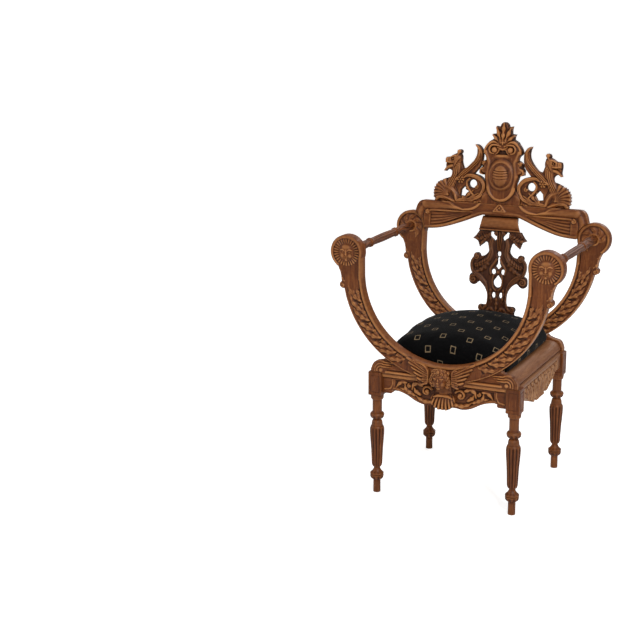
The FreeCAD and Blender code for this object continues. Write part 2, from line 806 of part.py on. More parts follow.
GRIFFIN_START_SHARE = (0.303, 0)
GRIFFIN_SHARES = [
    [(1.048, 0)],
    [(1.068, 0.04), (1.085, 0.098), (1.085, 0.155), (1.073, 0.213), (1.035, 0.27)],
    [(1.01, 0.3), (0.95, 0.329), (0.885, 0.358), (0.827, 0.375)],
    [(0.8, 0.415), (0.808, 0.46), (0.835, 0.485), (0.885, 0.485)],
    [(0.905, 0.46)],
    [(0.933, 0.473)],
    [(0.914, 0.52), (0.92, 0.579), (0.92, 0.645), (0.905, 0.679)],
    [(0.83, 0.69)],
    [(0.785, 0.722), (0.742, 0.742)],
    [(0.735, 0.785), (0.7, 0.802), (0.663, 0.79), (0.658, 0.757), (0.675, 0.735)],
    [(0.655, 0.69), (0.655, 0.63), (0.642, 0.575), (0.62, 0.52)],
    [(0.585, 0.525), (0.52, 0.579), (0.46, 0.655), (0.423, 0.733), (0.423, 0.829),
     (0.448, 0.89)],
    [(0.395, 0.883), (0.335, 0.82), (0.318, 0.733), (0.323, 0.655), (0.335, 0.598),
     (0.357, 0.55)],
    [(0.443, 0.445)],
    [(0.404, 0.435), (0.345, 0.415), (0.289, 0.37), (0.247, 0.305)],
    [(0.247, 0.26), (0.257, 0.215)],
    [(0.303, 0.14)],
]
GRIFFIN_HOLE_SHARE = (0.462, 0.29)
GRIFFIN_HOLE_RADIUS_SHARE = 0.062
GRIFFIN_PIERCING_SHARES = [(0.595, 0.245), (0.645, 0.19), (0.654, 0.103), (0.573, 0.095),
                           (0.529, 0.17)]


def carved(runs):
    return scaled(runs, size("carving_half_width"), size("carving_height"),
                  size("crest_top_rise"))


def make_griffin(side):
    body = new_body(f"griffin_{side}")
    across = SIDES[side]
    start, hole = carved([[GRIFFIN_START_SHARE], [GRIFFIN_HOLE_SHARE]])
    geometry = closed(start[0], carved(GRIFFIN_SHARES), across)
    geometry.append(circle((across * hole[0][0], hole[0][1]),
                           GRIFFIN_HOLE_RADIUS_SHARE * size("carving_half_width")))
    piercing = carved([GRIFFIN_PIERCING_SHARES])[0]
    geometry += closed(piercing[0], [[point] for point in piercing[1:]], across)
    pad(body, "board", "XZ_Plane", "-carving_back_y", "griffin_thickness", geometry)
    for number, share in enumerate(PEG_SHARES["griffin"]):
        bore(body, f"peg_bore_{number}", peg_place(share, across), FreeCAD.Vector(0, 0, 1),
             "peg_radius + fit_gap", "peg_length / 2 + fit_gap")
    lean(body)
    return body


CARTOUCHE_SHARES = [
    [(0.3, 0)],
    [(0.3, 0.14)],
    [(0.25, 0.215)],
    [(0.23, 0.29), (0.25, 0.365)],
    [(0.27, 0.435)],
    [(0.3475, 0.455)],
    [(0.352, 0.53)],
    [(0.325, 0.565)],
    [(0.312, 0.63), (0.25, 0.67)],
    [(0.255, 0.718), (0.283, 0.75)],
    [(0.308, 0.785), (0.284, 0.865), (0.23, 0.945)],
    [(0.165, 0.985)],
    [(0.17, 1.03), (0.187, 1.06)],
    [(0.122, 1.068)],
    [(0.118, 1.12), (0.13, 1.18)],
    [(0.068, 1.17)],
    [(0.052, 1.215), (0, 1.24)],
]


def make_cartouche():
    body = new_body("cartouche")
    geometry = symmetric((0, size("crest_top_rise")), carved(CARTOUCHE_SHARES))
    pad(body, "board", "XZ_Plane", "-carving_back_y", "cartouche_thickness", geometry)
    for name, side in SIDES.items():
        start = peg_place(PEG_SHARES["cartouche"][0], side)
        bore(body, f"{name}_peg_bore", start, FreeCAD.Vector(0, 0, 1), "peg_radius + fit_gap",
             "peg_length / 2 + fit_gap")
    lean(body)
    return body


BOSS_RISE_SHARE = 0.44


def make_boss():
    """A flat oval rim with a domed oval on it, against the cartouche's face."""
    body = new_body("cartouche_boss")
    centre = (0, size("crest_top_rise") + BOSS_RISE_SHARE * size("carving_height"))
    face = "(carving_back_y - cartouche_thickness)"
    wide, tall = size("boss_half_width"), size("boss_half_height")
    pad(body, "rim", "XZ_Plane", f"-{face}", "boss_rim", [ellipse(centre, wide, tall)])
    inset = 2 * size("boss_rim")
    foot = sketch_on(body, "dome_foot", "XZ_Plane", f"-{face} + boss_rim / 2",
                     [ellipse(centre, wide - inset, tall - inset)])
    crown = sketch_on(body, "dome_crown", "XZ_Plane", f"-{face} + boss_rim + boss_dome",
                      [ellipse(centre, (wide - inset) / 2, (tall - inset) / 2)])
    dome = body.newObject("PartDesign::AdditiveLoft", "cartouche_boss_dome")
    dome.Profile = foot
    dome.Sections = [crown]
    lean(body)
    return body


# Splat: shares of its half width and of a tier's height, above its foot

SPLAT_SHARES = [
    [(0.5875, 0.025)],
    [(0.575, 0.1), (0.61, 0.19)],
    [(0.6, 0.245), (0.475, 0.3)],
    [(0.3375, 0.305)],
    [(0.31, 0.375), (0.3, 0.5), (0.31, 0.65), (0.37, 0.81), (0.475, 0.94), (0.575, 1.005)],
    [(0.625, 0.99), (0.675, 0.94), (0.76, 0.89), (0.86, 0.905), (0.925, 0.975),
     (0.94, 1.075), (0.92, 1.19), (0.83, 1.255)],
    [(0.88, 1.4), (0.895, 1.56), (0.86, 1.68), (0.795, 1.77)],
    [(0.79, 1.86), (0.715, 1.895)],
    [(0.63, 1.885), (0.5875, 1.8)],
    [(0.5, 1.81), (0.4, 1.88), (0.345, 1.975), (0.35, 2.07), (0.39, 2.21)],
    [(0.44, 2.24), (0.49, 2.2)],
    [(0.5875, 2.125)],
    [(0.645, 2.07)],
    [(0.6875, 2.195), (0.725, 2.2875)],
    [(0.865, 2.345)],
    [(0.81, 2.4), (0.74, 2.49), (0.7, 2.55), (0.675, 2.6)],
]
SPLAT_TIERS_SHARE = 3.08
SPLAT_UPPER_HOLE_START_SHARE = (0.3, 2.545)
SPLAT_SLIT_START_SHARE = (0, 1.42)
SPLAT_DROP_START_SHARE = (0, 0.855)
CAP_FOOT_SHARE = 2.61
SPLAT_UPPER_HOLE_SHARES = [
    [(0.225, 2.56), (0.175, 2.5), (0.11, 2.425), (0.13, 2.325)],
    [(0.17, 2.3)],
    [(0.225, 2.375), (0.27, 2.41), (0.3, 2.46)],
    [(0.3, 2.545)],
]
SPLAT_SLIT_SHARES = [[(0.08, 1.51)], [(0.03, 1.6)], [(0.03, 1.77)], [(0, 1.8)]]
SPLAT_DROP_SHARES = [[(0.13, 0.98), (0.12, 1.08)], [(0, 1.24)]]
SPLAT_OVAL_SHARES = {"eye": (0.15, 1.34, 0.06, 0.08), "low": (0.115, 0.615, 0.05, 0.085)}
SPLAT_KEY_SHARES = (0, 1.9, 0.05, 0.08)


def splat_tier():
    return (crest_foot_rise() - size("splat_foot_rise")) / SPLAT_TIERS_SHARE


def on_splat(runs):
    return scaled(runs, size("splat_half_width"), splat_tier(), size("splat_foot_rise"))


def splat_ovals():
    wide, tall, foot = size("splat_half_width"), splat_tier(), size("splat_foot_rise")
    across, up, half_wide, half_tall = SPLAT_KEY_SHARES
    ovals = [ellipse((across, foot + up * tall), half_wide * wide, half_tall * tall)]
    for across, up, half_wide, half_tall in SPLAT_OVAL_SHARES.values():
        for side in SIDES.values():
            centre = (side * across * wide, foot + up * tall)
            ovals.append(ellipse(centre, half_wide * wide, half_tall * tall))
    return ovals


def make_splat():
    body = new_body("splat")
    shoe_top, neck = size("shoe_top_rise"), size("splat_neck_half_width")
    shoulder = crest_foot_rise() - size("fit_gap")
    foot_half = size("splat_tongue_half_width")
    runs = [[(foot_half, shoe_top)]] + on_splat(SPLAT_SHARES)
    cap_foot = runs[-1][-1][1]
    runs += [[(neck, cap_foot)], [(neck, shoulder)], [(0, shoulder)]]
    geometry = symmetric((0, shoe_top), runs)
    hole, slit, drop = on_splat([[SPLAT_UPPER_HOLE_START_SHARE, SPLAT_SLIT_START_SHARE,
                                  SPLAT_DROP_START_SHARE]])[0]
    for side in SIDES.values():
        geometry += closed(hole, on_splat(SPLAT_UPPER_HOLE_SHARES), side)
    geometry += symmetric(slit, on_splat(SPLAT_SLIT_SHARES))
    geometry += symmetric(drop, on_splat(SPLAT_DROP_SHARES))
    geometry += splat_ovals()
    pad(body, "board", "XZ_Plane", "-splat_front_y - splat_thickness", "splat_thickness",
        geometry)
    tongue_y = "splat_front_y + splat_tongue_inset"
    box(body, "AdditiveBox", "top_tongue",
        ("-splat_tongue_half_width", tongue_y, f"{shoulder}"),
        "2 * splat_tongue_half_width", "splat_tongue_thickness", "splat_tongue_length")
    box(body, "AdditiveBox", "foot_tongue",
        ("-splat_tongue_half_width", tongue_y, "shoe_top_rise - splat_tongue_length"),
        "2 * splat_tongue_half_width", "splat_tongue_thickness", "splat_tongue_length")
    lean(body)
    return body


def make_splat_cap():
    body = new_body("splat_cap")
    low = size("splat_foot_rise") + CAP_FOOT_SHARE * splat_tier()
    high = crest_foot_rise() - size("cap_gap")
    foot, top = size("cap_foot_half_width"), size("cap_top_half_width")
    waist = ((foot + 2 * top) / 3, (low + high) / 2)
    runs = [[(foot, low)], [waist, (top, high)], [(0, high)]]
    pad(body, "moulding", "XZ_Plane", "-splat_front_y", "cap_thickness",
        symmetric((0, low), runs))
    lean(body)
    return body


def make_shoe():
    """Stands on the rear arm frame's inner curve and takes the splat's lower tongue."""
    body = new_body("splat_shoe")
    half, top = size("shoe_half_width"), size("shoe_top_rise")
    radius = size("frame_inner_radius") - size("fit_gap")
    rise = size("frame_inner_rise")
    foot = (half, rise - math.sqrt(radius ** 2 - half ** 2))
    near = (half / 2, rise - math.sqrt(radius ** 2 - half ** 2 / 4))
    runs = [[near, foot], [(half, top)], [(0, top)]]
    pad(body, "block", "XZ_Plane", "shoe_projection - shoe_thickness", "shoe_thickness",
        symmetric((0, rise - radius), runs))
    box(body, "SubtractiveBox", "mortise",
        ("-splat_tongue_half_width - fit_gap", "splat_front_y + splat_tongue_inset - fit_gap",
         "shoe_top_rise - splat_tongue_length - fit_gap"),
        "2 * (splat_tongue_half_width + fit_gap)", "splat_tongue_thickness + 2 * fit_gap",
        "splat_tongue_length + 2 * fit_gap")
    lean(body)
    return body


# Winged head and shell on the front rail

WING_SHARES = [(0.35, -0.2), (0.5, -0.26), (0.66, -0.14), (0.73, 0.2), (0.81, 0.46),
               (0.91, 0.86), (1, 1.24), (0.84, 1.14), (0.66, 1), (0.5, 0.9), (0.35, 0.72)]


def make_cherub_head():
    body = new_body("cherub_head")
    frame_face = "(front_frame_back_y - front_frame_thickness)"
    head = primitive(body, "AdditiveEllipsoid", "ball",
                     ("0", frame_face, "rail_top + cherub_rise"),
                     Radius1="cherub_radius", Radius2="cherub_radius",
                     Radius3="cherub_projection")
    head.Angle1, head.Angle2, head.Angle3 = -90, 90, 360
    rail_face = "(-leg_centre_y - block_width / 2 + front_rail_setback)"
    band_face = f"({rail_face} - front_band_projection)"
    band_foot = "(rail_top - front_band_height)"
    for name, start_y, start_z in (("frame_cut", frame_face, "rail_top"),
                                   ("band_cut", band_face, band_foot),
                                   ("rail_cut", rail_face, "rail_top - 2 * cherub_radius")):
        box(body, "SubtractiveBox", name, ("-2 * cherub_radius", start_y, start_z),
            "4 * cherub_radius", "4 * cherub_radius", "4 * cherub_radius")
    stand(body)
    return body


def make_wing(side):
    body = new_body(f"cherub_wing_{side}")
    points = scaled([WING_SHARES], size("wing_reach"), size("wing_height"), size("rail_top"))[0]
    geometry = closed(points[0], [points[1:4], points[4:6], points[6:8], points[8:]],
                      SIDES[side])
    pad(body, "board", "XZ_Plane", "front_frame_thickness - front_frame_back_y",
        "wing_thickness", geometry)
    stand(body)
    return body


SHELL_SHARES = [[(0.65, 0.08), (1, 0.45)], [(0.8, 0.85), (0.35, 1)], [(0, 1)]]


def make_shell():
    body = new_body("apron_shell")
    half, tall = size("shell_half_width"), size("shell_height")
    top = size("rail_top") - size("shell_top_drop")
    foot = top - tall
    runs = scaled(SHELL_SHARES, half, tall, foot)
    rail_face = "(leg_centre_y + block_width / 2 - front_rail_setback)"
    pad(body, "fan", "XZ_Plane", rail_face, "shell_thickness", symmetric((0, foot), runs))
    stand(body)
    return body


# Loose seat: slats on the corner blocks, webbing and the cushion

def make_slat(name, across_x):
    body = new_body(f"seat_slat_{name}")
    base = "rail_top - fit_gap - slat_thickness"
    wide, deep = "slat_frame_half_width", "slat_frame_half_depth"
    if across_x:
        start = f"-{deep}" if name == "front" else f"{deep} - slat_width"
        box(body, "AdditiveBox", "board", (f"-{wide}", start, base),
            f"2 * {wide}", "slat_width", "slat_thickness")
    else:
        start = f"-{wide}" if name == "left" else f"{wide} - slat_width"
        box(body, "AdditiveBox", "board", (start, f"-{deep} + slat_width", base),
            "slat_width", f"2 * ({deep} - slat_width)", "slat_thickness")
    stand(body)
    return body


WEB_PLACES = range(-2, 3)


def make_webbing():
    body = new_body("seat_webbing")
    base = "rail_top - fit_gap"
    half = "web_half_length"
    for number in WEB_PLACES:
        middle = f"{number} * web_spacing - web_width / 2"
        box(body, "AdditiveBox", f"cross_strap_{number + 2}", (f"-{half}", middle, base),
            f"2 * {half}", "web_width", "web_thickness")
        box(body, "AdditiveBox", f"long_strap_{number + 2}", (middle, f"-{half}", base),
            "web_width", f"2 * {half}", "web_thickness")
    stand(body)
    return body


# Cushion stations from front to back: place, width, shoulder height and crown height, as
# shares of the half depth, the half width and the crown

CUSHION_STATION_SHARES = [
    (-1, 0.965, 0.22, 0.36),
    (-0.95, 0.985, 0.42, 0.63),
    (-0.8, 1, 0.54, 0.83),
    (-0.42, 1.01, 0.62, 0.96),
    (0, 1.015, 0.65, 1),
    (0.42, 1.01, 0.63, 0.95),
    (0.76, 1, 0.57, 0.79),
    (0.94, 0.985, 0.43, 0.61),
    (1, 0.965, 0.22, 0.36),
]
CUSHION_SHOULDER_SHARE = 0.8
CUSHION_SIDE_SHARE = (0.975, 0.6)
CUSHION_CROWN_BLEND = 0.7


def cushion_section(width_share, shoulder_share, crown_share):
    half = width_share * size("cushion_half_width")
    base = size("rail_top") + size("side_roll_height") + size("fit_gap")
    crown = size("cushion_crown")
    shoulder = (CUSHION_SHOULDER_SHARE * half, base + shoulder_share * crown)
    side = (half * CUSHION_SIDE_SHARE[0], base + CUSHION_SIDE_SHARE[1] * shoulder_share * crown)
    middle_share = shoulder_share + CUSHION_CROWN_BLEND * (crown_share - shoulder_share)
    middle = (shoulder[0] / 2, base + middle_share * crown)
    runs = [[(half, base)], [side, shoulder], [middle, (0, base + crown_share * crown)]]
    return symmetric((0, base), runs)


def make_cushion():
    """A crowned pad over the side mouldings, with a plain lower part down to the webbing."""
    body = new_body("seat_cushion")
    sections = []
    for number, (place, wide, shoulder, crown) in enumerate(CUSHION_STATION_SHARES):
        sections.append(sketch_on(body, f"station_{number}", "XZ_Plane",
                                  f"{-place} * cushion_half_depth",
                                  cushion_section(wide, shoulder, crown)))
    loft = body.newObject("PartDesign::AdditiveLoft", "seat_cushion_crown")
    loft.Profile = sections[0]
    loft.Sections = sections[1:]
    base = "rail_top - fit_gap + web_thickness + fit_gap"
    box(body, "AdditiveBox", "well",
        ("-cushion_well_half_width", "-cushion_well_half_depth", base),
        "2 * cushion_well_half_width", "2 * cushion_well_half_depth",
        "side_roll_height - web_thickness + 2 * fit_gap")
    stand(body)
    return body


nodes = []
for end in ENDS:
    for side in SIDES:
        nodes.append(make_leg(end, side))
        nodes.append(make_corner_block(end, side))
        nodes.append(make_spandrel(end, side))
        nodes.append(make_arm_half(end, side))
nodes.append(make_cross_rail("front", FRONT_EDGE_SHARES, -1, size("front_rail_depth")))
nodes.append(make_cross_rail("rear", REAR_EDGE_SHARES, -0.85, size("front_rail_depth")))
for side in SIDES:
    nodes.append(make_side_rail(side))
    nodes.append(make_side_roll(side))
    nodes.append(make_arm_rail(side))
    nodes.append(make_griffin(side))
    nodes.append(make_wing(side))
    nodes.append(make_slat(side, across_x=False))
for end in ENDS:
    nodes.append(make_slat(end, across_x=True))
nodes += [make_frame_dowels(), make_crest_rail(), make_crest_dowels(), make_cartouche(),
          make_splat(), make_splat_cap(), make_shoe(), make_cherub_head(), make_shell(),
          make_webbing(), make_cushion(), make_boss()]
doc.recompute()

for thing in doc.Objects:
    if {"Invalid", "Error"} & set(thing.State):
        raise RuntimeError(f"{thing.Label} did not build: {thing.State}")
for node in nodes:
    if node.Shape.isNull() or not node.Shape.isValid():
        raise RuntimeError(f"{node.Label} has no valid shape")

os.makedirs("parts", exist_ok=True)
for node in nodes:
    node.Shape.exportStep(os.path.join("parts", f"{node.Label}.step"))
    box_now = node.Shape.BoundBox
    print(f"{node.Label}: {len(node.Shape.Solids)} solid, {node.Shape.Volume / 1000:.1f} cm3, "
          f"x {box_now.XMin:.1f}..{box_now.XMax:.1f}, y {box_now.YMin:.1f}..{box_now.YMax:.1f}, "
          f"z {box_now.ZMin:.1f}..{box_now.ZMax:.1f}")
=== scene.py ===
"""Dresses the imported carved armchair: carved boards, turnings, a padded seat and their finishes."""

import logging
import math
from dataclasses import dataclass
from enum import Enum
from functools import cache
from typing import Callable, Sequence

import bmesh
import bpy
import numpy as np
from mathutils import Matrix, Vector
from mathutils.geometry import delaunay_2d_cdt
from mathutils.kdtree import KDTree


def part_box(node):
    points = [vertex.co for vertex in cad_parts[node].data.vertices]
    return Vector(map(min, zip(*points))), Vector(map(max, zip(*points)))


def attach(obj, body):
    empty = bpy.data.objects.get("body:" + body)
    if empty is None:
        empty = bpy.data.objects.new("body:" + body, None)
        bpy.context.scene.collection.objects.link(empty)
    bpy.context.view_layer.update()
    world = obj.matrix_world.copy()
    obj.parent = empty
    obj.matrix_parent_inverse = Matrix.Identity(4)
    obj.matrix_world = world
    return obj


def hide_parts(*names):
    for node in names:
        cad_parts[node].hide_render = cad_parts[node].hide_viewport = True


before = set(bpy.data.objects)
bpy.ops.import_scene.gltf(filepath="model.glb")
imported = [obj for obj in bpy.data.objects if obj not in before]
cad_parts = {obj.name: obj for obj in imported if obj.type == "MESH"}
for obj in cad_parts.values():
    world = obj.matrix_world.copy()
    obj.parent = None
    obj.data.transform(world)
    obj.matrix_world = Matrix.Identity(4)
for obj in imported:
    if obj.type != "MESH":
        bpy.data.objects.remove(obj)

log = logging.getLogger("armchair")

MM = 0.001
SEAT_Y = -4.2
RAIL_TOP = 371.0
LEAN = math.radians(4.86)
LEAN_PIVOT_Y = 204.3
Points = np.ndarray
Pair = tuple[float, float]
Triple = tuple[float, float, float]
Path = Sequence[Pair]
Faces = list[tuple[int, ...]]
Thing = bpy.types.Object
Socket = bpy.types.NodeSocket


# Working planes and outlines

@dataclass(frozen=True)
class Plane:
    """A working plane through the top of the seat rails, in millimetres.

    Args:
        origin: The point where across, up and out are all zero.
        across: Unit direction of the first coordinate.
        up: Unit direction of the second coordinate.
        out: Unit direction that a carved face looks along.
    """

    origin: Triple
    across: Triple
    up: Triple
    out: Triple

    def place(self, flat: Points, out: Points) -> Points:
        """Turns plane coordinates and heights into points of the chair."""
        axes = np.array([self.across, self.up, self.out])
        return np.array(self.origin) + np.column_stack([flat, out]) @ axes

    def flatten(self, points: Points) -> Points:
        """Turns points of the chair into across, up and out."""
        axes = np.array([self.across, self.up, self.out])
        return (points - np.array(self.origin)) @ axes.T


FRONT = Plane((0, 0, RAIL_TOP), (1, 0, 0), (0, 0, 1), (0, -1, 0))
BACK = Plane((0, LEAN_PIVOT_Y, RAIL_TOP), (1, 0, 0), (0, math.sin(LEAN), math.cos(LEAN)),
    (0, -math.cos(LEAN), math.sin(LEAN)))
SIDE_PLANES = {side: Plane((0, SEAT_Y, RAIL_TOP), (0, side, 0), (0, 0, 1), (side, 0, 0))
    for side in (-1, 1)}
SIDES = (("left", -1), ("right", 1))


def area_of(loop: Points) -> float:
    """Signed area of a closed loop."""
    after = np.roll(loop, -1, axis=0)
    return float((loop[:, 0] * after[:, 1] - after[:, 0] * loop[:, 1]).sum() / 2)


def outline_of(node: str, plane: Plane, behind: bool = False, holes: bool = True) -> list[Points]:
    """Reads the loops around a board's widest flat face.

    Args:
        node: Name of the CAD node.
        plane: Plane that the board lies in.
        behind: Whether to read the face that looks away from the plane's out.
        holes: Whether to keep the loops of piercings.

    Returns:
        The outer loop first, then the piercings, each a closed run of points.
    """
    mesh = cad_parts[node].data
    flat = plane.flatten(np.array([v.co for v in mesh.vertices]) / MM)
    keys: dict[Pair, int] = {}
    same = [keys.setdefault((round(a, 2), round(b, 2)), len(keys)) for a, b in flat[:, :2]]
    spots = np.array(list(keys))
    levels: dict[float, Faces] = {}
    areas: dict[float, float] = {}
    facing = Vector(plane.out) * (-1 if behind else 1)
    for face in mesh.polygons:
        if face.normal.dot(facing) > 0.995:
            level = round(float(flat[face.vertices[0], 2]), 1)
            levels.setdefault(level, []).append(tuple(same[v] for v in face.vertices))
            areas[level] = areas.get(level, 0) + face.area
    used: dict[tuple[int, int], int] = {}
    for face in levels[max(areas, key=areas.get)]:
        for a, b in zip(face, face[1:] + face[:1]):
            if used.pop((b, a), None) is None:
                used[(a, b)] = b
    follow = {a: b for a, b in used}
    loops = []
    while follow:
        start, at = follow.popitem()
        loop = [start]
        while at != start and at in follow:
            loop.append(at)
            at = follow.pop(at)
        loops.append(spots[loop])
    loops.sort(key=lambda loop: -abs(area_of(loop)))
    loops = [loop for loop in loops if abs(area_of(loop)) > 8]
    return loops if holes else loops[:1]


def spaced(loop: Points, pitch: float) -> Points:
    """Sets points at an even pitch on a closed loop and keeps its corners.

    Args:
        loop: Corners of the loop.
        pitch: Spacing.

    Returns:
        The points in order.
    """
    result = []
    for a, b in zip(loop, np.roll(loop, -1, axis=0)):
        steps = max(1, round(float(np.hypot(*(b - a))) / pitch))
        result.extend(a + (b - a) * step / steps for step in range(steps))
    kept = [result[0]]
    for point in result[1:]:
        if np.hypot(*(point - kept[-1])) > pitch * 0.55:
            kept.append(point)
    if np.hypot(*(kept[0] - kept[-1])) < pitch * 0.4:
        kept.pop()
    return np.array(kept)


def inside(points: Points, loops: Sequence[Points]) -> np.ndarray:
    """Tells which points lie inside the loops and outside their piercings.

    Args:
        points: Places, across and up.
        loops: Closed loops.

    Returns:
        One truth value for each point.
    """
    result = np.zeros(len(points), bool)
    for loop in loops:
        for a, b in zip(loop, np.roll(loop, -1, axis=0)):
            if a[1] == b[1]:
                continue
            crosses = (points[:, 1] > min(a[1], b[1])) & (points[:, 1] <= max(a[1], b[1]))
            where = a[0] + (points[:, 1] - a[1]) * (b[0] - a[0]) / (b[1] - a[1])
            result ^= crosses & (points[:, 0] < where)
    return result


def nearest(points: Points, path: Points) -> tuple[np.ndarray, np.ndarray, np.ndarray]:
    """Measures points against a run of straight pieces.

    Args:
        points: Places, across and up.
        path: Points of the run.

    Returns:
        Distance to the run, share of its length at the nearest place, and side of it (-1 or 1).
    """
    best = np.full(len(points), np.inf)
    share = np.zeros(len(points))
    side = np.ones(len(points))
    gone = 0.0
    for a, b in zip(path[:-1], path[1:]):
        along = b - a
        size = float(np.hypot(*along))
        if size < 1e-9:
            continue
        rel = points - a
        t = np.clip(rel @ along / size ** 2, 0, 1)
        off = rel - t[:, None] * along
        distance = np.hypot(off[:, 0], off[:, 1])
        closer = distance < best
        best[closer] = distance[closer]
        share[closer] = gone + t[closer] * size
        side[closer] = np.sign(along[0] * off[closer, 1] - along[1] * off[closer, 0] + 1e-12)
        gone += size
    return best, share / max(gone, 1e-9), side


def edge_distance(points: Points, loops: Sequence[Points]) -> np.ndarray:
    """Gives each point's distance from the nearest of several closed loops.

    Args:
        points: Places, across and up.
        loops: Closed loops.

    Returns:
        One distance for each point.
    """
    dense = np.vstack([spaced(loop, 0.5) for loop in loops])
    tree = KDTree(len(dense))
    for number, (x, y) in enumerate(dense):
        tree.insert((x, y, 0), number)
    tree.balance()
    return np.array([tree.find((x, y, 0))[2] for x, y in points])


def bend(points: Path, steps: int = 7) -> Points:
    """Draws a smooth line through a few points.

    Args:
        points: The few points.
        steps: Places in each stretch.

    Returns:
        The points of the line.
    """
    knots = np.asarray(points, float)
    if len(knots) < 3:
        return knots
    padded = np.vstack([2 * knots[0] - knots[1], knots, 2 * knots[-1] - knots[-2]])
    result = []
    for p0, p1, p2, p3 in zip(padded, padded[1:], padded[2:], padded[3:]):
        for t in np.arange(steps) / steps:
            result.append(0.5 * (2 * p1 + (p2 - p0) * t + (2 * p0 - 5 * p1 + 4 * p2 - p3) * t ** 2
                + (3 * p1 - p0 - 3 * p2 + p3) * t ** 3))
    result.append(knots[-1])
    return np.array(result)


def arc(centre: Pair, radius: float, start: int = 0, end: int = 361, step: int = 15) -> list[Pair]:
    """Draws a round line from one direction towards another, in degrees."""
    turns = np.radians(range(start, end, step))
    return [(centre[0] + radius * math.cos(turn), centre[1] + radius * math.sin(turn)) for turn in turns]


def spiral(centre: Pair, radius: float, start: float, turns: float) -> Points:
    """Draws a volute from its outer end inward; negative turns wind clockwise.

    Args:
        centre: Its middle.
        radius: Its radius.
        start: Direction of the outer end in degrees.
        turns: Number of turns.

    Returns:
        The points of the line.
    """
    share = np.linspace(0, 1, max(8, round(abs(turns) * 22)))
    angle = np.radians(start) + share * turns * 2 * math.pi
    reach = radius * (1 - 0.8 * share)
    return np.column_stack([centre[0] + reach * np.cos(angle), centre[1] + reach * np.sin(angle)])


# Carving

